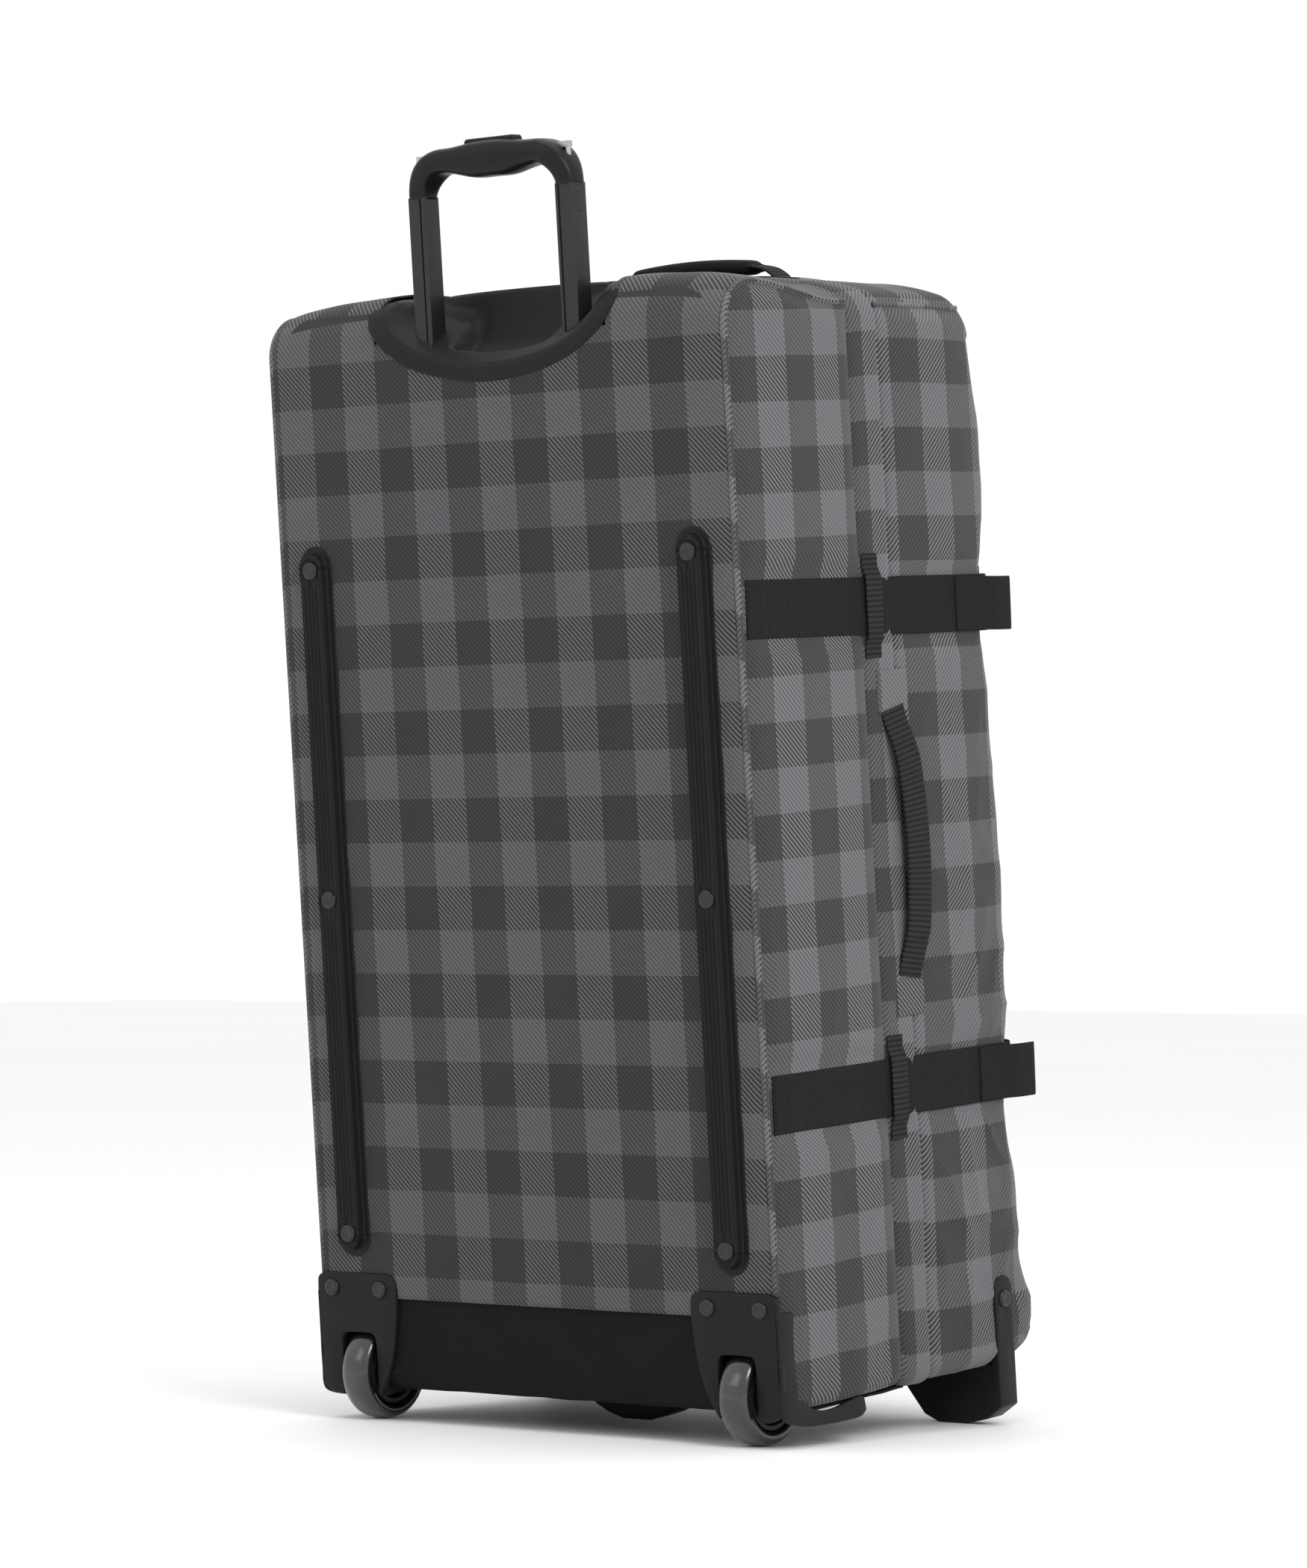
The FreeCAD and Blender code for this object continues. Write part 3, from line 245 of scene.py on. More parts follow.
def moulding(name, outline, axis, start, thick, bevel, rounds=3):
    # a flat outline given thickness along one axis, with its rims rounded by a bevel
    outline = np.asarray(outline, float)
    order = {"depth": (0, 2, 1), "x": (1, 2, 0), "height": (0, 1, 2)}[axis]
    points = np.zeros((2, len(outline), 3))
    points[..., order[0]], points[..., order[1]] = outline[:, 0], outline[:, 1]
    points[0, :, order[2]], points[1, :, order[2]] = start, start + thick
    mesh = bpy.data.meshes.new(name)
    n = len(outline)
    k = np.arange(n)
    walls = np.stack([k, (k + 1) % n, (k + 1) % n + n, k + n], -1).tolist()
    mesh.from_pydata(toRow(points).reshape(-1, 3).tolist(), [], walls + [k.tolist(), (k + n).tolist()])
    outward(mesh)
    softened(mesh, bevel, rounds)
    return mesh


def softened(mesh, bevel, rounds=3):
    # every sharp rim rounded by the same small radius
    work = bmesh.new()
    work.from_mesh(mesh)
    sharp = [e for e in work.edges if len(e.link_faces) == 2 and e.calc_face_angle(0) > 0.6]
    if bevel:
        bmesh.ops.bevel(work, geom=sharp, offset=bevel / 1000, segments=rounds, profile=0.5, affect="EDGES",
                        clamp_overlap=True)
    bmesh.ops.triangulate(work, faces=[f for f in work.faces if len(f.verts) > 4])
    work.to_mesh(mesh)
    work.free()
    mesh.shade_smooth()
    mesh.set_sharp_from_angle(angle=0.7)


def fromNode(node, bevel, rounds=2):
    # a CAD solid's own shape with its triangles joined up and its rims rounded
    mesh = frame["nodes"][node].data.copy()
    mesh.name = node + "Soft"
    mesh.transform(frame["nodes"][node].matrix_world)
    work = bmesh.new()
    work.from_mesh(mesh)
    bmesh.ops.remove_doubles(work, verts=work.verts, dist=1e-5)
    bmesh.ops.dissolve_limit(work, angle_limit=0.02, verts=work.verts, edges=work.edges)
    work.to_mesh(mesh)
    work.free()
    softened(mesh, bevel, rounds)
    return mesh


# ---- shader kit ----


class Number:
    # wraps a socket, so that plain arithmetic on it adds Math nodes
    def __init__(self, paint, socket):
        self.paint, self.socket = paint, socket

    def math(self, operation, *others):
        return self.paint.add("Math", {"operation": operation}, self, *others)


def plainForm(operation):
    return lambda self, other: self.math(operation, other)


def reflectedForm(operation):
    return lambda self, other: self.paint.add("Math", {"operation": operation}, other, self)


def aloneForm(operation):
    return lambda self: self.math(operation)


arithmetic = {"add": "ADD", "sub": "SUBTRACT", "mul": "MULTIPLY", "truediv": "DIVIDE",
              "mod": "FLOORED_MODULO"}
for form, mathNode in arithmetic.items():
    setattr(Number, f"__{form}__", plainForm(mathNode))
    setattr(Number, f"__r{form}__", reflectedForm(mathNode))
for form, mathNode in {"__lt__": "LESS_THAN", "__gt__": "GREATER_THAN"}.items():
    setattr(Number, form, plainForm(mathNode))
for form, mathNode in {"floor": "FLOOR", "sine": "SINE", "size": "ABSOLUTE"}.items():
    setattr(Number, form, aloneForm(mathNode))


class Paint:
    # one material, built from a Principled shader; fixed holds its constants
    def __init__(self, name, **fixed):
        self.material = bpy.data.materials.new(name)
        self.material.use_nodes = True
        self.tree = self.material.node_tree
        self.shader = self.tree.nodes["Principled BSDF"]
        for socket, number in fixed.items():
            self.shader.inputs[socket.replace("_", " ")].default_value = number

    def add(self, kind, settings, *values, out=0, **named):
        node = self.tree.nodes.new("ShaderNode" + kind)
        for key, setting in settings.items():
            setattr(node, key, setting)
        for place, given in list(enumerate(values)) + list(named.items()):
            self.put(node.inputs[place.replace("_", " ") if isinstance(place, str) else place], given)
        return Number(self, node.outputs[out])

    def put(self, socket, given):
        if isinstance(given, Number):
            self.tree.links.new(given.socket, socket)
        else:
            socket.default_value = given

    def place(self, source="Object"):
        return self.add("TexCoord", {}, out=source)

    def parts(self, vector):
        split = self.add("SeparateXYZ", {}, vector)
        return [Number(self, split.socket.node.outputs[k]) for k in range(3)]

    def noise(self, vector, scale, detail=3.0, rough=0.5):
        return self.add("TexNoise", {}, Vector=vector, Scale=scale, Detail=detail, Roughness=rough)

    def blend(self, amount, low, high):
        node = self.tree.nodes.new("ShaderNodeMix")
        node.data_type = "RGBA"
        for socket, given in ((0, amount), (6, low), (7, high)):
            self.put(node.inputs[socket], given)
        return Number(self, node.outputs[2])

    def finish(self, height=None, strength=0.3, distance=0.001, **linked):
        for socket, given in linked.items():
            self.put(self.shader.inputs[socket.replace("_", " ")], given)
        if height is not None:
            bump = self.add("Bump", {}, Strength=strength, Distance=distance, Height=height)
            self.put(self.shader.inputs["Normal"], bump)
        return self.material


def grey(level, warm=0.0, blue=0.0):
    return (level * (1 + warm), level, level * (1 + blue), 1)


# groove is the share of each yarn colour left in the twill's grooves: painted shade
checkLook = {"square": 0.030, "cells": 32, "light": 0.128, "dark": 0.036, "groove": 0.55}


def checkCloth(name, shiftU=0.0, shiftV=0.0, slant=1, paintedLightShadeGain=1.0):
    # a 2/2 twill in two tones of yarn: each cell shows its warp or its weft, stepping one cell per pick,
    # so two light stripes cross plain, two dark ones cross dark, and mixed ones show diagonal lines
    paint = Paint(name, Roughness=0.82, Sheen_Weight=0.1, Sheen_Roughness=0.5, Specular_IOR_Level=0.2)
    u, v, _ = paint.parts(paint.place("UV"))
    cell = checkLook["square"] / checkLook["cells"]
    u, v = (u - shiftU) / cell, (v - shiftV) / cell
    cu, cv = u.floor(), v.floor()
    step = (cu + cv * slant) % 4
    warpOnTop = step < 1.5
    cells = checkLook["cells"]
    warpDark = (cu % (2 * cells)) < cells - 0.5
    weftDark = (cv % (2 * cells)) < cells - 0.5
    isDark = warpOnTop * warpDark + (1 - warpOnTop) * weftDark
    wale = ((u + v * slant) / 4 * math.tau).sine() * 0.5 + 0.5
    fibre = paint.noise(paint.place("UV"), 900.0, 2.0)
    broad = paint.noise(paint.place("UV"), 14.0, 3.0)
    # painted light and shade: this gain scales both yarn tones, above 1 painting light and below 1 painting
    # shade on the panels this copy covers
    lightTone, darkTone = checkLook["light"] * paintedLightShadeGain, checkLook["dark"] * paintedLightShadeGain
    # painted shade and painted highlight: along each wale the yarn colour falls to the groove share in the
    # groove and rises above its tone on the crest
    light = paint.blend(wale, grey(lightTone * checkLook["groove"], 0, 0.05),
                        grey(lightTone * 1.12, 0, 0.07))
    dark = paint.blend(wale, grey(darkTone * checkLook["groove"]), grey(darkTone * 1.25))
    yarn = paint.blend(isDark, light, dark)
    tone = paint.blend(fibre * 0.5 + broad * 0.25, grey(0.55), grey(1.45))
    colour = paint.tree.nodes.new("ShaderNodeMix")
    colour.data_type, colour.blend_type = "RGBA", "MULTIPLY"
    paint.put(colour.inputs[0], 0.55)
    paint.put(colour.inputs[6], yarn)
    paint.put(colour.inputs[7], tone)
    return paint.finish(height=wale + fibre * 0.5 + isDark * 0.2, strength=0.55, distance=0.0004,
                        Base_Color=Number(paint, colour.outputs[2]), Roughness=0.74 + fibre * 0.16)


def coatedCloth():
    # plain black weave under a thin coating: fine crossing threads, about one to the millimetre
    paint = Paint("coatedCloth", Specular_IOR_Level=0.09)
    u, v, _ = paint.parts(paint.place("UV"))
    thread = ((u + v) * 5200).sine() * ((u - v) * 5200).sine()
    cloud = paint.noise(paint.place("UV"), 30.0, 4.0)
    colour = paint.blend(thread * 0.5 + 0.5, grey(0.005), grey(0.011, 0, 0.04))
    return paint.finish(height=thread + cloud, strength=0.5, distance=0.0003, Base_Color=colour,
                        Roughness=0.55 + cloud * 0.25)


def webbingCloth(name, rib=0.0022, tone=0.011):
    # ribbed black tape: ridges across its length, broken by a herringbone of slanting threads
    paint = Paint(name, Specular_IOR_Level=0.1)
    u, v, _ = paint.parts(paint.place("UV"))
    ridge = (u / rib * math.tau).sine() * 0.5 + 0.5
    twine = ((u * 1.0 + (v * 1.0).size() * 1.2) / (rib * 0.6) * math.tau).sine() * 0.5 + 0.5
    cloud = paint.noise(paint.place("UV"), 160.0, 3.0)
    colour = paint.blend(ridge * 0.6 + twine * 0.4, grey(tone * 0.2), grey(tone * 1.9, 0, 0.03))
    return paint.finish(height=ridge + twine * 0.5, strength=0.6, distance=0.0005, Base_Color=colour,
                        Roughness=0.62 + cloud * 0.2)


def mouldedPlastic(name, tone=0.008, rough=0.42, grain=0.35):
    # injection-moulded black: a pebbled skin, faint clouding and drier, paler scuffs
    paint = Paint(name, Specular_IOR_Level=0.16)
    where = paint.place()
    pebble = paint.noise(where, 1900.0, 2.0)
    cloud = paint.noise(where, 24.0, 4.0)
    scuff = paint.noise(where, 130.0, 6.0, 0.7)
    colour = paint.blend(cloud * 0.5 + (scuff > 0.66) * 0.35, grey(tone * 0.8), grey(tone * 1.7, 0, 0.03))
    return paint.finish(height=pebble, strength=grain, distance=0.0003, Base_Color=colour,
                        Roughness=rough + cloud * 0.14 + scuff * 0.06 - 0.08)


def darkMetal(name, tone=0.03, rough=0.3, metallic=0.7):
    # anodised or plated metal drawn along its length: long thin streaks in its gloss
    paint = Paint(name, Metallic=metallic)
    x, y, z = paint.parts(paint.place())
    stretched = paint.add("CombineXYZ", {}, x * 1400, y * 1400, z * 14)
    streak = paint.noise(stretched, 1.0, 3.0)
    cloud = paint.noise(paint.place(), 30.0, 3.0)
    colour = paint.blend(streak * 0.6 + cloud * 0.3, grey(tone * 0.75), grey(tone * 1.35, 0, 0.04))
    return paint.finish(height=streak, strength=0.12, distance=0.0002, Base_Color=colour,
                        Roughness=rough + streak * 0.14 - 0.05)


def castTyre():
    # cast urethane: wet-looking black with tiny light flecks and a faint parting line's haze
    paint = Paint("castTyre", Coat_Weight=0.6, Coat_Roughness=0.08, Specular_IOR_Level=0.6)
    where = paint.place()
    fleck = paint.noise(where, 1500.0, 1.0) > 0.71
    haze = paint.noise(where, 60.0, 4.0)
    colour = paint.blend(fleck, grey(0.007), grey(0.11, 0, 0.05))
    return paint.finish(height=haze, strength=0.05, distance=0.001, Base_Color=colour,
                        Roughness=0.16 + haze * 0.16)


def threadPaint(name, tone):
    # sewing thread: two plies twisted round each other
    paint = Paint(name, Specular_IOR_Level=0.3)
    x, y, z = paint.parts(paint.place())
    ply = ((x + y + z) * 9000).sine() * 0.5 + 0.5
    colour = paint.blend(ply, grey(tone * 0.5), grey(tone * 1.4))
    return paint.finish(height=ply, strength=0.4, distance=0.0002, Base_Color=colour,
                        Roughness=0.6 + ply * 0.2)


cloth = {
    # painted shade on the back's copy (gain 0.8) and painted light on the sides' copy (gain 1.12), which
    # also covers the band, front shell, piping and grab patches
    "back": checkCloth("checkClothBackPaintedShade", 0.0126, -0.0162, -1, 0.8),
    "side": checkCloth("checkClothSidePaintedLight", -0.003, 0.688, 1, 1.12),
    "front": checkCloth("checkClothFront", 0.012, 0.010, 1),
    "coated": coatedCloth(),
    "webbing": webbingCloth("webbingCloth"),
    "grabTape": webbingCloth("grabTape", 0.0036, 0.017),
    "edging": webbingCloth("edgingTape", 0.0012, 0.03),
}
plastic = {
    "satin": mouldedPlastic("satinPlastic"),
    "gloss": mouldedPlastic("smoothPlastic", 0.009, 0.3, 0.12),
    "hub": mouldedPlastic("hubPlastic", 0.02, 0.3, 0.15),
    "board": mouldedPlastic("boardPlastic", 0.035, 0.6, 0.5),
}
metal = {
    "tube": darkMetal("darkTube", 0.035, 0.3, 0.75),
    "rivet": darkMetal("blackRivet", 0.02, 0.34, 0.4),
    "steel": darkMetal("brightSteel", 0.45, 0.28, 1.0),
    "zip": darkMetal("gunMetal", 0.055, 0.26, 0.85),
}
tyrePaint = castTyre()
threads = {"grey": threadPaint("greyThread", 0.10), "black": threadPaint("blackThread", 0.02)}
print("materials made")

# ---- stage, light and camera ----

studio = {"lens": 130.2, "eye": (-2.4839, 3.0582, 0.3505), "target": (-0.1058, 0.1342, 0.4381), "sky": 1.0}


def placeCamera():
    data = bpy.data.cameras.new("mainCamera")
    data.lens, data.sensor_width = studio["lens"], 36
    camera = bpy.data.objects.new("mainCamera", data)
    camera.location = studio["eye"]
    camera.rotation_euler = (Vector(studio["target"]) - Vector(studio["eye"])).to_track_quat("-Z",
            "Y").to_euler()
    bpy.context.scene.collection.objects.link(camera)
    bpy.context.scene.camera = camera
    bpy.context.scene.view_settings.view_transform = "Standard"


def placeLight(name, place, aim, size, power):
    data = bpy.data.lights.new(name, "AREA")
    data.shape, data.size, data.size_y, data.energy = "RECTANGLE", size[0], size[1], power
    lamp = bpy.data.objects.new(name, data)
    lamp.location = place
    lamp.rotation_euler = (Vector(aim) - Vector(place)).to_track_quat("-Z", "Y").to_euler()
    bpy.context.scene.collection.objects.link(lamp)


def makeStage():
    floor = bpy.data.meshes.new("floor")
    reach = 14
    floor.from_pydata([(-reach, -reach, 0), (reach, -reach, 0), (reach, reach, 0), (-reach, reach, 0)], [],
                      [(0, 1, 2, 3)])
    floorPaint = Paint("paleFloor", Roughness=0.6, Specular_IOR_Level=0.2)
    cloud = floorPaint.noise(floorPaint.place(), 0.6, 2.0)
    floor.materials.append(floorPaint.finish(Base_Color=floorPaint.blend(cloud, grey(0.90), grey(0.95))))
    obj = bpy.data.objects.new("floor", floor)
    bpy.context.scene.collection.objects.link(obj)
    world = bpy.data.worlds.new("studioSky")
    world.use_nodes = True
    world.node_tree.nodes["Background"].inputs[0].default_value = (1, 1, 1, 1)
    world.node_tree.nodes["Background"].inputs[1].default_value = studio["sky"]
    bpy.context.scene.world = world
    placeLight("keyLight", (-3.2, 1.2, 2.6), (0, 0, 0.4), (1.6, 1.6), 72)
    placeLight("backLight", (1.6, 3.4, 2.2), (0, 0, 0.4), (1.8, 1.8), 12)
    placeLight("topLight", (0, 0.2, 3.4), (0, 0, 0.4), (2.2, 2.2), 18)


placeCamera()
makeStage()

# ---- soft body ----

backLook = {"columns": 120, "rows": 190, "arcRows": 16, "topRows": 40, "cupHalf": 103, "cupDrop": 53}


def backSection(x):
    # up the back panel, over a round edge, then forward along the top, for every x at once
    radius = bag["backRound"]
    turnHeight = topHeight(x, radius) - radius
    up = np.linspace(0, 1, backLook["rows"])[:, None]
    height = bag["lowerTop"] - 2 + (turnHeight - bag["lowerTop"] + 2) * up
    back = np.stack(np.broadcast_arrays(x, 0 * height, height), -1)
    turn = np.linspace(0, np.pi / 2, backLook["arcRows"] + 2)[1:-1, None]
    arc = np.stack(np.broadcast_arrays(x, radius * (1 - np.cos(turn)), turnHeight + radius * np.sin(turn)),
                   -1)
    depth = np.linspace(radius, bag["gusset"] + 1, backLook["topRows"])[:, None]
    top = np.stack(np.broadcast_arrays(x, depth, topHeight(x, depth)), -1)
    return np.concatenate([back, arc, top])


def makeBackAndTop():
    x = np.linspace(-bag["half"], bag["half"], backLook["columns"])[None, :]
    points = backSection(x)
    run = np.linalg.norm(np.diff(points, axis=0), axis=2)
    along = points[0, :, 2] + np.concatenate([np.zeros((1, run.shape[1])), np.cumsum(run, 0)])
    uv = np.stack([points[..., 0], along], -1)
    edge = np.exp(-(bag["half"] - np.abs(points[..., 0])) / 4.5)
    onBack = 1 - smooth((points[..., 2] - 735) / 20)
    points[..., 1] += onBack * (2.2 * edge - 0.9 + 0.7 * ripple(points[..., 0], points[..., 2], 2))
    points[..., 2] += (1 - onBack) * (-1.6 * edge + 1.2 * ripple(points[..., 0] * 0.8, points[..., 1], 5)
                                      * smooth(points[..., 1] / 60))
    middle = (points[1:, 1:] + points[:-1, :-1]) / 2
    inCup = (middle[..., 0] / backLook["cupHalf"]) ** 2 + ((774 - middle[..., 2])
            / backLook["cupDrop"]) ** 2 < 1
    inCup |= (np.abs(middle[..., 0]) < backLook["cupHalf"]) & (middle[..., 1] < 50) & (middle[..., 2] > 745)
    mesh = gridMesh("backAndTop", points, uv, keep=~inCup, flip=True)
    piece("backAndTopCloth", mesh, cloth["back"], "bag", ["back_panel"], thick=1.4)


def makeSidePanels():
    meshes = []
    for sign in (1, -1):
        radius, edge = bag["backRound"], bag["gusset"]
        depth = np.linspace(0, edge, 56)[:, None]
        arcTop = topHeight(200, radius) - radius + np.sqrt(np.clip(radius**2 - (radius - depth) ** 2, 0,
                None))
        top = np.where(depth < radius, arcTop, topHeight(200, depth))
        height = bag["low"] + (top - bag["low"]) * np.linspace(0, 1, 220)[None, :]
        rim = np.minimum(depth, np.minimum(top - height, edge - depth))
        x = bag["half"] + sideOut(depth, height) - 2.0 * np.exp(-rim / 3.5)
        under = 12 - np.sqrt(np.clip(144 - (12 - np.clip(height - bag["low"], 0, 12)) ** 2, 0, None))
        points = np.stack(np.broadcast_arrays(sign * (x - under), depth, height), -1)
        meshes.append(gridMesh("sidePanel", points, points[..., 1:], flip=sign < 0))
    piece("rearSideCloth", joined("rearSides", meshes), cloth["side"], "bag", ["rear_gusset"], thick=1.4)


def makeLowerPanel():
    # black cloth: down the back, round a tight turn under the bag, forward along the bottom
    x = np.linspace(-bag["half"] + 1, bag["half"] - 1, 110)[None, :]
    turn = np.linspace(0, np.pi / 2, 12)[:, None]
    radius = 16
    up = np.linspace(bag["lowerTop"] + 1, bag["low"] + radius, 34)[:, None]
    back = np.stack(np.broadcast_arrays(x, 0 * up, up), -1)
    arc = np.stack(np.broadcast_arrays(x, radius * (1 - np.cos(turn)),
                                       bag["low"] + radius * (1 - np.sin(turn))), -1)[1:]
    run = np.linspace(radius, bag["gusset"] + 2, 40)[1:, None]
    floor = np.stack(np.broadcast_arrays(x, run, bag["low"] + 0 * run), -1)
    points = np.concatenate([back, arc, floor])
    length = np.concatenate([[0], np.cumsum(np.linalg.norm(np.diff(points[:, 0], axis=0), axis=1))])
    points[:34, :, 1] += 1.2 + 0.6 * ripple(points[:34, :, 0], points[:34, :, 2], 12)
    points[34:, :, 2] += 0.6 * ripple(points[34:, :, 0], points[34:, :, 1], 13)
    uv = np.stack(np.broadcast_arrays(x, length[:, None]), -1)
    middle = (points[1:, 1:] + points[:-1, :-1]) / 2
    inWell = (np.abs(np.abs(middle[..., 0]) - wheelLine) < 20) & (middle[..., 1] < 64) & (middle[...,
            2] < 80)
    mesh = gridMesh("lowerPanel", points, uv, keep=~inWell)
    piece("lowerPanelCloth", mesh, cloth["coated"], "bag", ["lower_panel"], thick=1.4)


def line(start, end, count):
    return np.linspace(start, end, count, endpoint=False)


def loopPoints(half, low, top, roundTop, roundLow, crown):
    # a closed outline in x and height from bottom centre: bottom, corner, side, corner, top and back again
    quarter = np.linspace(0, np.pi / 2, 13)
    right = [line((0, low), (half - roundLow, low), 22),
             np.stack([half - roundLow + roundLow * np.sin(quarter),
                       low + roundLow * (1 - np.cos(quarter))], -1)[:-1],
             line((half, low + roundLow), (half, top - roundTop), 150),
             np.stack([half - roundTop * (1 - np.cos(quarter)),
                       top - roundTop + roundTop * np.sin(quarter)], -1)[:-1],
             line((half - roundTop, top), (0, top), 40)]
    right = np.concatenate(right)
    right[:, 1] += crown * (1 - np.clip(np.abs(right[:, 0]) / half, 0,
                                        1) ** 5) * smooth((right[:, 1] - top + roundTop + 2) / roundTop)
    left = np.concatenate([[[0, top + crown]], right[:0:-1] * [-1, 1]])
    return np.concatenate([right, left])


frontEdge = {"height": [24, 32, 41, 57, 98, 135, 192, 247, 312, 393, 518, 572, 609, 663, 720, 760],
             "shift": [-16, -9, 8, 9, -3, -2, -10, -3, -1, 0, -7, -6, 1, 2, -7, -10]}


def frontShift(height):
    # how the cloth of the front stands forward or falls back along its height
    flat = np.interp(height, frontEdge["height"], frontEdge["shift"])
    near = (np.interp(height - 7, frontEdge["height"], frontEdge["shift"])
            + np.interp(height + 7, frontEdge["height"], frontEdge["shift"])) / 2
    return (flat + near) / 2


def shellRing(depth, grow=0.0):
    top = float(topHeight(200, depth))
    crown = float(topHeight(0, depth)) - top
    ring = loopPoints(bag["half"] - 1 + grow, bag["low"] - grow, top + grow, 16, 12, crown)
    out = sideOut(depth, ring[:, 1]) * smooth((np.abs(ring[:, 0]) - 150) / 45)
    ring[:, 0] += np.sign(ring[:, 0]) * out
    return ring


def makeBand():
    # the zip gusset under its storm flap: flush at the seam, standing proud at the flap's free edge, then a
    # slit
    profile = [(132, -1.5), (133.5, -0.4), (137, 0.9), (145, 1.5), (155, 1.7), (160, 1.9), (162.6, 1.6),
               (163.6, 0.6), (163.8, -1.5), (165.2, -3.5), (167, -3.5)]
    rings = []
    for depth, grow in profile:
        ring = shellRing(depth, grow * 1.0)
        rings.append(np.insert(ring, 1, depth, axis=1))
    points = np.stack(rings)
    points = np.concatenate([points, points[:, :1]], 1)
    length = np.concatenate([[0], np.cumsum(np.linalg.norm(np.diff(points[3][:, [0, 2]], axis=0), axis=1))])
    uv = np.stack(np.broadcast_arrays(points[..., 1], (length - 180)[None, :]), -1)
    mesh = gridMesh("zipBand", points, uv, weld=1e-6)
    piece("zipBandCloth", mesh, cloth["side"], "bag", ["zip_band"], thick=1.2)


windowLook = {"half": 140, "low": 80, "top": 720, "roundTop": 30, "roundLow": 10}


def makeFrontShell():
    # forward along the sides, round the front edge, then inward over the face to the lid's opening
    radius, face = bag["frontRound"], bag["face"]
    rings = []
    for depth in [166.4, 166.8, 168, 171, *np.linspace(175, 262, 24), face - radius]:
        grow = -2.2 * math.exp(-(depth - 166.4) / 1.6)
        rings.append(np.insert(shellRing(depth, grow), 1, depth, axis=1))
    last = rings[-1]
    window = loopPoints(windowLook["half"], windowLook["low"], windowLook["top"], windowLook["roundTop"],
                        windowLook["roundLow"], 0)
    middle = np.array([0, 0, 400])
    inward = np.stack([np.clip(last[:, 0] / 199, -1, 1) ** 9, 0 * last[:, 0], 0 * last[:, 0]], -1)
    inward[:, 2] = np.where(last[:, 2] > 735, 1, np.where(last[:, 2] < 36, -1, 0))
    inward /= np.maximum(np.linalg.norm(inward, axis=1, keepdims=True), 1)
    for turn in np.linspace(0, np.pi / 2, 9)[1:]:
        ring = last - inward * radius * (1 - math.cos(turn))
        ring[:, 1] = face - radius + radius * math.sin(turn)
        rings.append(ring)
    rim = rings[-1]
    target = np.insert(window, 1, face, axis=1)
    for share in (0.2, 0.4, 0.6, 0.8, 0.93, 0.985):
        ring = rim * (1 - share) + target * share
        ring[:, 1] = face + 2.5 * math.sin(math.pi * share)
        rings.append(ring)
    lip = target.copy()
    lip[:, 1] = face - 2.5
    rings.append(lip)
    points = np.stack(rings)
    weight = smooth((points[..., 1] - 225) / 55)
    points[..., 1] += frontShift(points[..., 2]) * weight * smooth((np.abs(points[..., 0]) - 120) / 60)
    points[..., 1] += 1.1 * ripple(points[..., 0], points[..., 2], 21) * weight
    points = np.concatenate([points, points[:, :1]], 1)
    along = np.concatenate([np.zeros((1, points.shape[1])),
                            np.cumsum(np.linalg.norm(np.diff(points, axis=0), axis=2), 0)]) + 166
    length = np.concatenate([[0], np.cumsum(np.linalg.norm(np.diff(points[4][:, [0, 2]], axis=0), axis=1))])
    uv = np.stack(np.broadcast_arrays(along, (length - 180)[None, :]), -1)
    mesh = gridMesh("frontShell", points, uv, weld=1e-6)
    piece("frontShellCloth", mesh, cloth["side"], "bag", ["front_shell"], thick=1.4)


def makeLid():
    # a flat panel with rounded corners: rings shrink from the zip's edge to the middle
    rings = []
    for share, proud in ((0.0, -3), (0.002, -0.4), (0.01, 0.3), (0.04, 0.8), (0.12, 1.4), (0.3, 2.0),
                         (0.55, 2.2), (0.8, 2.2), (0.999, 2.2)):
        ring = loopPoints(windowLook["half"] - 2.5, windowLook["low"] + 2.5, windowLook["top"] - 2.5, 28, 9,
                          0)
        ring = ring * (1 - share) + np.array([0, 400]) * share
        rings.append(np.insert(ring, 1, bag["face"] - 1.5 + proud, axis=1))
    points = np.stack(rings)
    points[2:, :, 1] += 0.5 * ripple(points[2:, :, 0], points[2:, :, 2], 31)
    points = np.concatenate([points, points[:, :1]], 1)
    mesh = gridMesh("lid", points, points[..., [0, 2]], weld=1e-6)
    piece("frontLidCloth", mesh, cloth["front"], "lid", ["front_lid"], thick=1.4)


makeBackAndTop()
makeSidePanels()
makeLowerPanel()
makeBand()
makeFrontShell()
makeLid()
print("soft body made")

# ---- front pockets: padded, swelled by a short cloth simulation ----

pocketLook = {"voxel": 0.0055, "pressure": 4.0, "frames": 20, "cap": 0.007, "shrink": 3.0}


def pocketShape(low, high, rise, half=116, corner=20):
    # a flat pillow box in x, depth and height, its front rim rounded
    rings = []
    start = bag["face"] + 1.6
    for inset, depth in ((0, start), (0, start + rise * 0.55), (1.4, start + rise * 0.78),
                         (5, start + rise * 0.93),
                         (11, start + rise), (40, start + rise + 1), (90, start + rise + 1.5)):
        ring = loopPoints(half - inset, low + inset, high - inset, max(corner - inset, 4),
                          max(corner - inset, 4), 0)
        rings.append(np.insert(ring, 1, depth, axis=1))
    centre = np.repeat([[0, start + rise + 1.5, (low + high) / 2]], len(rings[0]), 0)
    back = np.repeat([[0, start, (low + high) / 2]], len(rings[0]), 0)
    return np.stack([back] + rings + [centre])


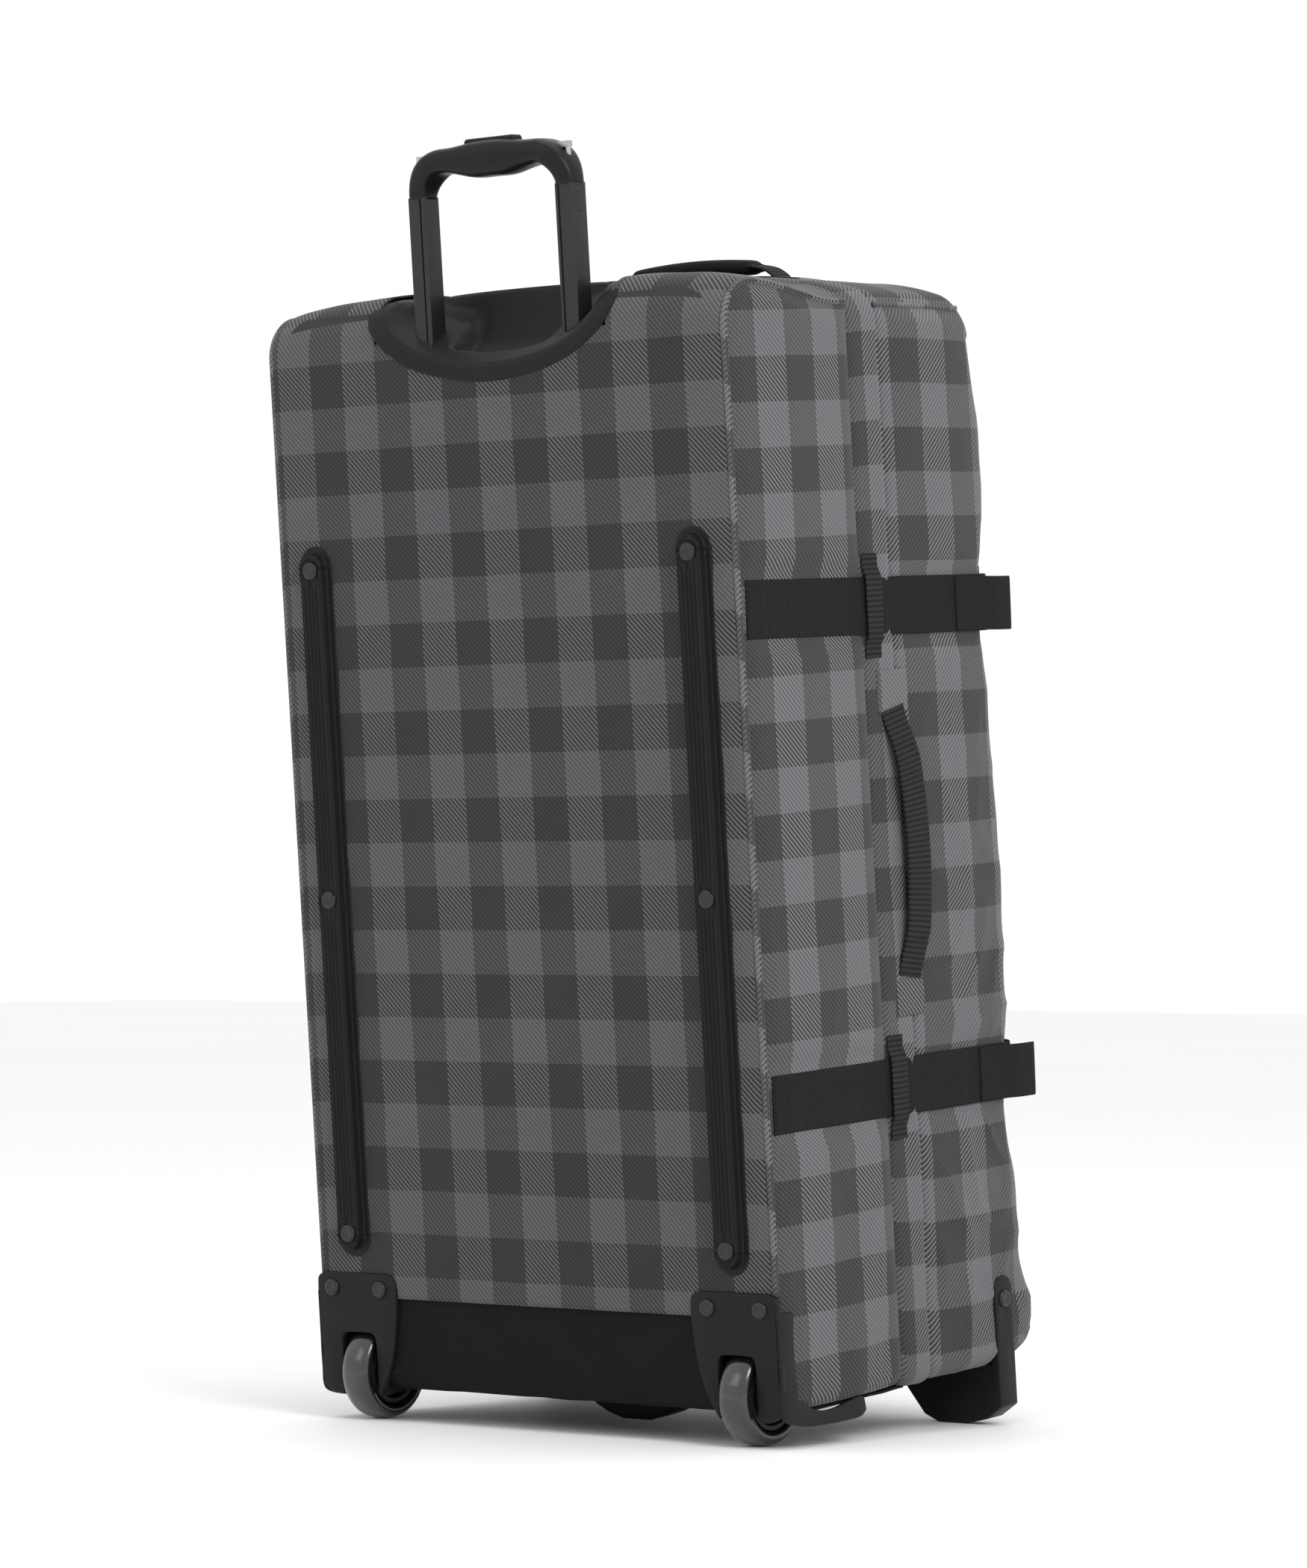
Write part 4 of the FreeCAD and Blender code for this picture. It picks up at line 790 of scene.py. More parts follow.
def swell(obj):
    # voxel remesh, then gentle pressure with gravity off, and no point moves further than the cap
    remesh = obj.modifiers.new("voxels", "REMESH")
    remesh.mode, remesh.voxel_size = "VOXEL", pocketLook["voxel"]
    bpy.context.view_layer.objects.active = obj
    for other in bpy.context.selected_objects:
        other.select_set(False)
    obj.select_set(True)
    bpy.ops.object.modifier_apply(modifier="voxels")
    before = np.empty(len(obj.data.vertices) * 3)
    obj.data.vertices.foreach_get("co", before)
    before = before.reshape(-1, 3)
    depthOf = (before - bagZero) @ frontWay * 1000
    pinned = obj.vertex_groups.new(name="sewn")
    pinned.add(np.flatnonzero(depthOf < bag["face"] + 5).tolist(), 1.0, "REPLACE")
    scene = bpy.context.scene
    sim = obj.modifiers.new("swelling", "CLOTH")
    sim.settings.use_pressure = True
    sim.settings.uniform_pressure_force = pocketLook["pressure"]
    sim.settings.effector_weights.gravity = 0
    sim.settings.vertex_group_mass = "sewn"
    sim.settings.tension_stiffness = sim.settings.compression_stiffness = 18
    sim.settings.bending_stiffness = 0.6
    sim.point_cache.frame_end = pocketLook["frames"]
    for step in range(1, pocketLook["frames"] + 1):
        scene.frame_set(step)
    solved = obj.evaluated_get(bpy.context.evaluated_depsgraph_get())
    after = np.empty(len(before) * 3)
    solved.data.vertices.foreach_get("co", after)
    move = after.reshape(-1, 3) - before
    length = np.linalg.norm(move, axis=1, keepdims=True)
    move *= np.minimum(1, pocketLook["cap"] / np.maximum(length, 1e-9))
    obj.modifiers.remove(sim)
    obj.data.vertices.foreach_set("co", (before + move).ravel())
    scene.frame_set(1)
    obj.data.update()


def clothUv(mesh):
    # lays x and height onto the faces, so that the check runs on across the pockets
    co = np.empty(len(mesh.vertices) * 3)
    mesh.vertices.foreach_get("co", co)
    local = co.reshape(-1, 3) - bagZero
    index = np.empty(len(mesh.loops), int)
    mesh.loops.foreach_get("vertex_index", index)
    layer = mesh.uv_layers.new(name="cloth")
    layer.data.foreach_set("uv", np.stack([local @ acrossWay, local @ upWay], -1)[index].ravel())


def makePocket(name, node, low, high, rise):
    shape = pocketShape(low + pocketLook["shrink"], high - pocketLook["shrink"], rise - 3)
    mesh = gridMesh(name, shape, closeV=True, weld=1e-6)
    outward(mesh)
    obj = piece(name, mesh, cloth["front"], "lid", [node])
    swell(obj)
    clothUv(obj.data)
    obj.data.shade_smooth()
    finer = obj.modifiers.new("finer", "SUBSURF")
    finer.levels = finer.render_levels = 1


makePocket("frontPocketUpper", "front_pocket_upper", 417, 696, 22)
makePocket("frontPocketLower", "front_pocket_lower", 104, 393, 26)
print("pockets made")

# ---- piping, seams and stitches ----


def ropeAlong(name, path, radius, sides=10):
    # a round cord cover carried along a path, turned about whichever axis the path stays off
    path = np.asarray(path, float)
    aside = np.array([1.0, 0, 0]) if np.abs(np.diff(path[:, 0])).max() < 1e-6 else np.array([0, 1.0, 0])
    t = np.linspace(0, math.tau, sides, endpoint=False)
    return swept(name, path, aside, np.stack([radius * np.cos(t), radius * np.sin(t)], -1))


def sideRim(sign, low=104):
    # where the side panel meets the back and the top: up the back edge, round, and forward to the seam
    radius = bag["backRound"]
    turnHeight = float(topHeight(200, radius)) - radius
    up = np.linspace(low, turnHeight, 90)
    turn = np.linspace(0, np.pi / 2, 18)[1:-1]
    ahead = np.linspace(radius, bag["gusset"] - 1, 40)
    depth = np.concatenate([0 * up, radius * (1 - np.cos(turn)), ahead])
    height = np.concatenate([up, turnHeight + radius * np.sin(turn), topHeight(200, ahead)])
    return np.stack([np.full(len(depth), sign * (bag["half"] - 0.4)), depth, height], -1)


def makePiping():
    meshes = [ropeAlong("piping", sideRim(sign) + [0, 0.8, -0.6], 2.3) for sign in (1, -1)]
    for sign in (1, -1):
        ahead = np.linspace(168, 262, 40)
        rim = np.stack([np.full(40, sign * (bag["half"] - 5)), ahead, topHeight(200, ahead) - 4], -1)
        meshes.append(ropeAlong("piping", rim + [sign * 1.5, 0, 1.5], 1.9))
    piece("sidePiping", joined("piping", meshes), cloth["side"], "bag", ["back_piping"])


def stitches(paths, pitch=3.0, long=2.0, wide=0.32, lift=0.25):
    # short flat-sided capsules laid along each path, a fixed pitch apart; each path has its own outward
    # side
    made = []
    for path, out in paths:
        path = np.asarray(path, float)
        out = np.asarray(out, float) / np.linalg.norm(out)
        length = np.concatenate([[0], np.cumsum(np.linalg.norm(np.diff(path, axis=0), axis=1))])
        centre = np.arange(pitch / 2, length[-1], pitch)
        if not len(centre):
            continue
        at = lambda s: np.stack([np.interp(s, length, path[:, k]) for k in range(3)], -1)
        a, b = at(centre - long / 2) + out * lift * 0.2, at(centre + long / 2) + out * lift * 0.2
        way = b - a
        way /= np.linalg.norm(way, axis=1, keepdims=True)
        across = np.cross(way, out)
        ridge = (a + b) / 2 + out * (lift + wide)
        corners = np.stack([a, (a + b) / 2 + across * wide, b, (a + b) / 2 - across * wide, ridge], 1)
        base = np.arange(len(centre))[:, None] * 5
        faces = np.array([[0, 4, 1], [1, 4, 2], [2, 4, 3], [3, 4, 0], [0, 1, 2], [0, 2, 3]])
        made.append((corners.reshape(-1, 3), (base[:, None] + faces[None]).reshape(-1, 3)))
    verts, faces, count = [], [], 0
    for corners, triangles in made:
        verts.append(corners)
        faces.append(triangles + count)
        count += len(corners)
    mesh = bpy.data.meshes.new("stitches")
    mesh.from_pydata(toRow(np.concatenate(verts)).tolist(), [], np.concatenate(faces).tolist())
    outward(mesh)
    return mesh


def onSide(sign, depth, height, lift=0.0):
    depth, height = np.broadcast_arrays(np.asarray(depth, float), np.asarray(height, float))
    return np.stack([sign * (bag["half"] + sideOut(depth, height) + lift), depth, height], -1)


def makeSeams():
    paths = []
    for sign in (1, -1):
        tall = np.linspace(40, 742, 160)
        paths.append((onSide(sign, 135.5 + 0 * tall, tall, 0.2), (sign, 0, 0)))
        paths.append((onSide(sign, 159.5 + 0 * tall, tall, 0.6), (sign, 0, 0)))
        paths.append((onSide(sign, 170.5 + 0 * tall, tall, -0.6), (sign, 0, 0)))
        for height in (578, 204):
            wide = np.linspace(140, 163, 8)
            paths.append((onSide(sign, wide, height + 0 * wide, 0.7), (sign, 0, 0)))
            paths.append((onSide(sign, wide, height + 6 + 0 * wide, 0.7), (sign, 0, 0)))
    across = np.linspace(-190, 190, 200)
    for depth in (135.5, 170.5):
        paths.append((np.stack([across, 0 * across + depth, topHeight(across, depth) + 0.6], -1),
                      (0, 0, 1)))
    flat = np.linspace(-128, 128, 120)
    paths.append((np.stack([flat, 0 * flat - 0.4, 0 * flat + 92.5], -1), (0, -1, 0)))
    mesh = stitches(paths)
    piece("seamStitches", mesh, threads["grey"], "bag")


makePiping()
makeSeams()
print("piping and seams made")

# ---- compression straps, loops and buckles ----

strapLook = {"width": 39, "thick": 1.7, "start": 6, "round": 19}


def webSection(width, thick, count=20):
    return roundBar(width / 2, thick / 2, count, 6.0)


def strapPath(sign, heights, lift):
    # along the side, round the front edge, then in over the face as far as the buckle
    radius, face = strapLook["round"], bag["face"]
    ahead = np.linspace(strapLook["start"], face - radius, 60)
    height = np.interp(ahead, [0, face], heights)
    side = onSide(sign, ahead, height, lift)
    turn = np.linspace(0, np.pi / 2, 12)[1:]
    arc = np.stack([sign * (bag["half"] - radius + (radius + lift) * np.cos(turn)),
                    face - radius + (radius + lift) * np.sin(turn), np.full(11, height[-1])], -1)
    inward = np.array([[sign * (bag["half"] - radius - 5), face + lift, height[-1]]])
    return np.concatenate([side, arc, inward])


def makeStraps():
    stitchPaths, loops, tails = [], [], []
    for level in ("upper", "lower"):
        for side, sign in (("left", 1), ("right", -1)):
            path = strapPath(sign, strapRun[level], 1.3)
            mesh = swept("strap", path, (0, 0, 1), webSection(strapLook["width"], strapLook["thick"]))
            extra = ["strap_corners"] if (level, side) == ("upper", "left") else []
            piece(f"strap{level.title()}{side.title()}", mesh, cloth["webbing"], "bag",
                  [f"strap_{level}_{side}"] + extra)
            middle = np.interp([142, 250], [0, bag["face"]], strapRun[level])
            for shift in (-15.5, 15.5):
                run = np.linspace(9, 22, 8)
                stitchPaths.append((onSide(sign, run, middle[0] + 4 + shift + 0 * run, 2.3), (sign, 0, 0)))
            for depth in (9.5, 21.5):
                tall = np.linspace(-15, 15, 10) + middle[0] + 4
                stitchPaths.append((onSide(sign, depth + 0 * tall, tall, 2.3), (sign, 0, 0)))
            tall = np.linspace(-35, 35, 40)
            over = 0.9 + 2.9 * smooth((27 - np.abs(tall)) / 8)
            bow = onSide(sign, 142 + 0 * tall, middle[0] + tall)
            bow[:, 0] = sign * (bag["half"] + 0.4 + over)
            loops.append(swept("loop", bow, (0, 1, 0), webSection(17, 1.5)))
            for edge in (-32, 32):
                run = np.linspace(135, 149, 6)
                stitchPaths.append((np.stack([sign * (bag["half"] + 2.4) + 0 * run, run,
                        middle[0] + edge + 0 * run], -1), (sign, 0, 0)))
            tail = smoothPath([(sign * (bag["half"] + 2.6), 236, middle[1]),
                               (sign * (bag["half"] + 3.6), 258, middle[1] - 0.5),
                               (sign * (bag["half"] + 5.2), 280, middle[1] - 1.5),
                               (sign * (bag["half"] + 4.5), 297, middle[1] - 2)], 30)
            tails.append(swept("tail", tail, (0, 0, 1), webSection(strapLook["width"] - 2, 1.6)))
    piece("strapLoops", joined("loops", loops), cloth["grabTape"], "bag", ["strap_loops"])
    piece("strapTails", joined("tails", tails), cloth["webbing"], "bag")
    piece("strapStitches", stitches(stitchPaths), threads["black"], "bag")
    piece("buckleSockets", fromNode("buckle_sockets", 1.1), plastic["gloss"], "bag", ["buckle_sockets"])
    for level in ("upper", "lower"):
        for side in ("left", "right"):
            node = f"buckle_plug_{level}_{side}"
            piece(f"bucklePlug{level.title()}{side.title()}", fromNode(node, 0.9), plastic["gloss"],
                  f"plug_{level}_{side}", [node])


makeStraps()
print("straps made")

# ---- side grab handle ----

grabLook = {"low": 298, "high": 480, "width": 25, "bow": 6.5}


def makeGrabHandle():
    height = np.linspace(grabLook["high"], grabLook["low"], 90)
    share = (grabLook["high"] - height) / (grabLook["high"] - grabLook["low"])
    depth = 158 + 11 * np.sin(math.pi * share) + 4 * share
    lift = 1.8 + grabLook["bow"] * smooth(share / 0.2) * smooth((1 - share) / 0.2)
    path = np.stack([-(bag["half"] + lift), depth, height], -1)
    mesh = swept("grabHandle", path, (0, 1, 0), webSection(grabLook["width"], 3.0))
    piece("sideGrabHandle", mesh, cloth["grabTape"], "bag", ["side_handle"])
    patches, paths = [], []
    for centre, end in ((grabLook["high"] + 11, 1), (grabLook["low"] - 11, -1)):
        rows = np.linspace(-1, 1, 14)
        deep, tall = np.meshgrid(np.linspace(-1, 1, 16), rows, indexing="ij")
        puff = 0.7 * (1 - np.abs(deep) ** 4) * (1 - np.abs(tall) ** 4)
        middle = 160 if end > 0 else 163
        points = np.stack([-(bag["half"] + 0.6 + puff), middle + 17 * deep, centre + 15 * tall], -1)
        patches.append(gridMesh("grabPatch", points, points[..., 1:], flip=True))
        box = np.array([(-13, -10), (13, -10), (13, 10), (-13, 10), (-13, -10), (13, 10), (13, -10),
                        (-13, 10)], float)
        for a, b in zip(box[:-1], box[1:]):
            run = a + (b - a) * np.linspace(0, 1, 8)[:, None]
            spot = np.stack([np.full(8, -(bag["half"] + 1.3)), middle + run[:, 0], centre + run[:, 1]], -1)
            paths.append((spot, (-1, 0, 0)))
    for row in (grabLook["high"] - 26, grabLook["low"] + 26):
        for shift in (-1.2, 1.2):
            run = np.linspace(-11, 11, 10)
            share = (grabLook["high"] - row) / (grabLook["high"] - grabLook["low"])
            centre = 158 + 11 * math.sin(math.pi * share) + 4 * share
            rise = 1.8 + grabLook["bow"] * float(smooth(share / 0.2) * smooth((1 - share) / 0.2)) + 1.6
            paths.append((np.stack([np.full(10, -(bag["half"] + rise)), centre + run,
                                    row + shift + 0 * run], -1), (-1, 0, 0)))
    piece("grabPatches", joined("patches", patches), cloth["side"], "bag", thick=1.4)
    piece("grabStitches", stitches(paths, 2.6, 1.8), threads["black"], "bag")


makeGrabHandle()

# ---- skid rails and rivets ----

railLook = {"low": 115, "top": 611, "half": 16, "ridge": 10.6, "flange": 3.0, "rise": 9.4}


def railHeight(r):
    # flange, a step up, then concentric ridges that run round the rail
    flange = railLook["flange"] * smooth((railLook["half"] - r) / 1.6)
    step = (railLook["rise"] - railLook["flange"]) * smooth((railLook["ridge"] - r) / 1.6)
    grooves = 0.75 * np.cos(r / 3.3 * math.tau) * smooth((railLook["ridge"] - 1.2 - r) / 1.0)
    return flange + step + grooves


def makeRails():
    for side, sign in (("left", 1), ("right", -1)):
        half = railLook["half"]
        low, top = railLook["low"] + half, railLook["top"] - half
        r = np.concatenate([np.linspace(half, half, 1), np.linspace(half, 0.01, 46)])
        turn = np.linspace(0, np.pi, 25)
        spine = np.concatenate([np.linspace(low, top, 90), np.full(25, top), np.linspace(top, low, 90),
                                np.full(25, low)])
        dirX = np.concatenate([np.ones(90), np.cos(turn), -np.ones(90), -np.cos(turn)])
        dirZ = np.concatenate([np.zeros(90), np.sin(turn), np.zeros(90), -np.sin(turn)])
        x = sign * wheelLine + dirX[:, None] * r
        z = spine[:, None] + dirZ[:, None] * r
        depth = -railHeight(r)[None, :] + 0 * x
        depth[:, 0] = 0.2
        for level in (133, 365, 593):
            away = np.hypot(x - sign * wheelLine, z - level)
            depth = np.where(away < 8.6, np.maximum(depth, -8.6 + 0 * away), depth)
            depth -= 0.9 * np.exp(-((away - 9.4) / 0.9) ** 2) * (away < 14)
        mesh = gridMesh("rail", np.stack([x, depth, z], -1), closeU=True)
        outward(mesh)
        flipIfInward(mesh, -frontWay)
        piece(f"skidRail{side.title()}", mesh, plastic["satin"], "bag", [f"skid_rail_{side}"])


def flipIfInward(mesh, way):
    # an open surface is turned so that most of it faces the given way
    normals = np.array([p.normal * p.area for p in mesh.polygons]).sum(0)
    if normals @ way < 0:
        mesh.flip_normals()


def domes(spots, radius, rise):
    # round heads: each a short wall, a rolled rim and a low crown, turned about its own axis
    profile = np.array([(1.0, -0.3), (1.0, 0.35), (0.94, 0.66), (0.8, 0.88), (0.55, 1.0), (0.5, 0.9),
                        (0.25, 0.93), (0.001, 0.95)])
    turn = np.linspace(0, math.tau, 28, endpoint=False)[:, None]
    meshes = []
    for centre, axis in spots:
        a = np.cross(axis, (0, 0, 1.0)) if abs(axis[2]) < 0.9 else np.array([1.0, 0, 0])
        b = np.cross(axis, a)
        ring = np.cos(turn)[..., None] * a + np.sin(turn)[..., None] * b
        out = ring * (profile[:, 0] * radius)[None, :, None]
        up = np.asarray(axis) * (profile[:, 1] * rise)[None, :, None]
        points = np.asarray(centre, float) + out + up
        mesh = gridMesh("dome", points, closeU=True, weld=1e-5)
        outward(mesh)
        meshes.append(mesh)
    return joined("domes", meshes)


def makeRivets():
    back = np.array([0, -1.0, 0])
    rail = [((sign * wheelLine, -8.4, level), back) for sign in (1, -1) for level in (133, 365, 593)]
    plate = [((sign * wheelLine + shift, -4.4, 94), back) for sign in (1, -1) for shift in (-22, 22)]
    foot = [((sign * 206.2, 245, 68), np.array([float(sign), 0, 0])) for sign in (1, -1)]
    piece("railRivets", domes(rail, 6.5, 2.4), metal["rivet"], "bag", ["rail_rivets"])
    piece("housingRivets", domes(plate, 6.0, 2.2), metal["rivet"], "bag", ["housing_rivets"])
    piece("footRivets", domes(foot, 6.0, 2.2), metal["rivet"], "bag", ["foot_rivets"])


makeRails()
makeRivets()
print("rails and rivets made")

# ---- wheel housings, feet and skid ----

housingLook = {"plate": 4.2, "wing": 3.2}


def makeHousings():
    for side, sign in (("left", 1), ("right", -1)):
        inner = smoothPath([(139, 105), (132.5, 102.5), (130.5, 96), (131, 80), (134, 58), (139, 40),
                            (147, 25), (151, 20)], 40)
        outer = smoothPath([(183, 20), (193, 20), (201, 26), (203.6, 40), (203.4, 70), (203, 96),
                            (201.5, 102), (196, 105)], 40)
        slot = smoothPath([(151.5, 22), (151.5, 56), (153, 61), (157, 63), (177, 63), (181, 61),
                           (182.5, 56), (182.5, 22)], 40)[::-1]
        outline = np.concatenate([inner[::-1], outer[::-1], slot])
        outline = outline * [sign, 1]
        plate = moulding("plate", outline, "depth", -housingLook["plate"], housingLook["plate"] + 1.5, 1.3)
        curve = smoothPath([(13.5, 92), (12.5, 74), (12, 56), (15, 41), (24, 28), (38, 22.5), (52, 22),
                            (66, 24), (80, 26)], 50)
        under = smoothPath([(87, 15.5), (80, 11.8), (62, 11.6), (46, 12.2), (26, 13.5), (9, 17), (-1, 21),
                            (-4.2, 27), (-4.2, 40), (-4.2, 92)], 60)
        wing = moulding("wing", np.concatenate([curve, [(85, 25)], under]), "x",
                        sign * (bag["half"] + 0.4) if sign > 0 else sign * (bag["half"] + 0.4)
                        - housingLook["wing"], housingLook["wing"], 1.1)
        cheeks = []
        for shift in (-19.5, 17):
            a = sign * wheelLine + shift
            cheeks.append(moulding("cheek", [(0, 20), (0, 76), (62, 76), (62, 20)], "x", a, 2.5, 0.5))
        cap = moulding("cap", [(sign * wheelLine - 19, 1), (sign * wheelLine + 19, 1),
                               (sign * wheelLine + 19, 62), (sign * wheelLine - 19, 62)], "height", 74, 2.5,
                               0.5)
        end = moulding("end", [(sign * wheelLine - 19, 20), (sign * wheelLine + 19, 20),
                               (sign * wheelLine + 19, 76), (sign * wheelLine - 19, 76)], "depth", 60, 2.5,
                               0.5)
        mesh = joined("housing", [plate, wing, cap, end] + cheeks)
        piece(f"wheelHousing{side.title()}", mesh, plastic["satin"], "bag", [f"wheel_housing_{side}"])
        piece(f"frontFoot{side.title()}", fromNode(f"front_foot_{side}", 2.2, 3), plastic["satin"], "bag",
              [f"front_foot_{side}"])
    piece("centreSkid", fromNode("centre_skid", 2.5, 3), plastic["satin"], "bag", ["centre_skid"])


wheelLook = {"radius": 34, "hub": 23, "half": 12, "centre": (20, 34)}


def makeWheels():
    for side, sign in (("left", 1), ("right", -1)):
        t = np.linspace(0, math.tau, 40, endpoint=False)
        middle = (wheelLook["radius"] + wheelLook["hub"]) / 2 - 0.6
        ring = roundBar(wheelLook["half"], wheelLook["radius"] - middle, 40, 2.5)
        ring[:, 1] = np.where(ring[:, 1] < 0, ring[:, 1] * 0.8, ring[:, 1])
        spin = np.linspace(0, math.tau, 96, endpoint=False)[:, None]
        r = middle + ring[None, :, 1]
        depth = wheelLook["centre"][0] + r * np.sin(spin)
        height = wheelLook["centre"][1] + r * np.cos(spin)
        points = np.stack(np.broadcast_arrays(sign * wheelLine + ring[None, :, 0], depth, height), -1)
        mesh = gridMesh("tyre", points, closeU=True, closeV=True)
        outward(mesh)
        piece(f"tyre{side.title()}", mesh, tyrePaint, f"wheel_{side}", [f"tyre_{side}"])
        piece(f"hub{side.title()}", fromNode(f"hub_{side}", 0.5), plastic["hub"], f"wheel_{side}",
              [f"hub_{side}"])


makeHousings()
makeWheels()
print("wheels and feet made")

# ---- handle cup, tubes, grip ----

cupLook = {"half": [112, 112, 110.5, 108, 100, 96.5, 94.5, 91, 86, 80, 76, 74, 74, 74],
           "drop": [61, 61, 60, 58.2, 50.5, 48, 46, 41, 33, 23, 11, 0.5, -2, -2],
           "depth": [1.5, -2.2, -3.2, -3.6, -3.2, -1.8, 1, 8, 20, 33, 41, 44, 46, 58]}


def makeCup():
    # half-ellipse rings that start at the rim on the cloth, roll over the lip and scoop forward to the back
    # wall
    turn = np.linspace(0, np.pi, 97)[:, None]
    fine = np.linspace(0, 13, 79)
    half, drop, depth = (np.interp(fine, np.arange(14), cupLook[key])[None, :]
                         for key in ("half", "drop", "depth"))
    x = half * np.cos(turn)
    z = 775 - drop * np.sin(turn) ** 0.92
    fade = 1 - smooth((depth - 4) / 26)
    over = bag["backRound"] - np.sqrt(np.clip(bag["backRound"] ** 2 - np.clip(z - 747, 0, 28) ** 2, 0,
            None))
    y = depth + over * fade
    recess = smooth((44 - np.abs(x)) / 7) * smooth((depth - 8) / 8) * smooth((44 - depth) / 6)
    z = z - 12 * recess
    mesh = gridMesh("cup", np.stack([x, y, z], -1))
    flipIfInward(mesh, -frontWay)
    piece("handleCup", mesh, plastic["satin"], "bag", ["handle_cup"], thick=2.2)


tubeLook = {"span": 130, "inset": 15, "half": 7.5, "deep": 8.0, "low": 322, "top": 842}


def tubeSection():
    # a rounded box with a narrow groove let into its back face, near each outer corner
    a, b = tubeLook["half"], tubeLook["deep"]
    corner = np.linspace(0, np.pi / 2, 6)
    bend = 1.6
    quarter = np.stack([a - bend + bend * np.sin(corner), b - bend + bend * np.cos(corner)], -1)
    right = np.concatenate([quarter, quarter[::-1] * [1, -1]])
    ring = np.concatenate([right, right[::-1] * [-1, 1]])
    groove = np.array([(-a + 4.6, 1), (-a + 4.2, 0.45), (-a + 3.4, 0.45), (-a + 3.0, 1)])
    groove[:, 1] = b - 1.0 * (groove[:, 1] < 0.9)
    return np.concatenate([ring, groove[::-1] if ring[-1, 0] < 0 else groove])


def makeHandle():
    meshes = []
    for sign in (1, -1):
        path = np.array([[sign * tubeLook["span"] / 2, tubeLook["inset"], z]
                         for z in (tubeLook["low"], 600, tubeLook["top"])], float)
        section = tubeSection()
        points = path[:, None] + np.stack([sign * section[:, 0], -section[:, 1], 0 * section[:, 0]],
                                          -1)[None]
        mesh = gridMesh("tube", points, closeV=True)
        outward(mesh)
        mesh.set_sharp_from_angle(angle=0.5)
        meshes.append(mesh)
    piece("slidingTubes", joined("tubes", meshes), metal["tube"], "handle", ["sliding_tubes"])

    corner = 24
    legs = np.linspace(842.3, 865 - corner, 6)
    turn = np.linspace(0, np.pi / 2, 22)[1:]
    run = np.linspace(65 - corner, 0, 26)[1:]
    right = np.concatenate([np.stack([0 * legs + 65, legs], -1),
                            np.stack([65 - corner + corner * np.cos(turn),
                                      865 - corner + corner * np.sin(turn)], -1),
                            np.stack([run, 865 + 0.9 * smooth((40 - run) / 40)], -1)])
    line = np.concatenate([right, right[-2::-1] * [-1, 1]])
    path = np.insert(line, 1, tubeLook["inset"], axis=1)
    lengths = np.concatenate([[0], np.cumsum(np.linalg.norm(np.diff(line, axis=0), axis=1))])
    share = np.minimum(lengths, lengths[-1] - lengths) / (lengths[-1] / 2)
    inPlane = 7.9 + 0.6 * smooth(share / 0.3) + 1.6 * smooth((share - 0.55) / 0.35)
    deep = 8.6 + 4.6 * smooth(share / 0.34)
    sections = np.stack([roundBar(d, p, 36, 3.4) for d, p in zip(deep, inPlane)])
    below = 1 + 0.42 * smooth((share - 0.45) / 0.4)[:, None] * (sections[..., 1] > 0)
    sections[..., 1] *= below
    mesh = swept("grip", path, (0, 1, 0), sections)
    piece("gripBow", mesh, plastic["gloss"], "handle", ["grip"])
    piece("pushButton", fromNode("push_button", 0.8, 3), plastic["satin"], "release", ["push_button"])
    pins = [((sign * 72.3, tubeLook["inset"], level), np.array([float(sign), 0, 0])) for sign in (1, -1)
            for level in (837, 825)]
    piece("gripPins", domes(pins, 2.2, 0.7), metal["rivet"], "handle", ["grip_pins"])


makeCup()
makeHandle()
print("handle made")

# ---- top carry handle ----


def makeCarryHandle():
    x = np.linspace(-56, 56, 60)
    path = np.stack([x, 0 * x + 228, 789.5 - 3.5 * (x / 56) ** 2], -1)
    swellEnd = 0.55 + 0.45 * smooth((56 - np.abs(x)) / 9)
    sections = np.stack([roundBar(11.5 * s, 5.3 * s, 26, 2.8) for s in swellEnd])
    pad = piece("carryPad", swept("carryPad", path, (0, 1, 0), sections), cloth["coated"], "carry_handle",
                ["carry_pad"])
    webs, anchors = [], []
    for sign in (1, -1):
        path = smoothPath([(sign * 48, 228, 788), (sign * 57, 228, 787), (sign * 66, 228, 784.5),
                           (sign * 73, 228, 780), (sign * 77, 228, 776)], 30)
        webs.append(swept("carryWeb", path, (0, 1, 0), webSection(19, 2.2)))
        path = smoothPath([(sign * 75.5, 228, 776), (sign * 79, 228, 775.2), (sign * 88, 228, 774.8),
                           (sign * 97, 228, 774.2)], 16)
        anchors.append(swept("carryAnchor", path, (0, 1, 0), webSection(22, 1.6)))
    piece("carryWebbing", joined("carryWebs", webs), cloth["grabTape"], "carry_handle", ["carry_webbing"])
    piece("carryAnchors", joined("carryAnchors", anchors), cloth["grabTape"], "bag", ["carry_anchors"])


# ---- zips ----


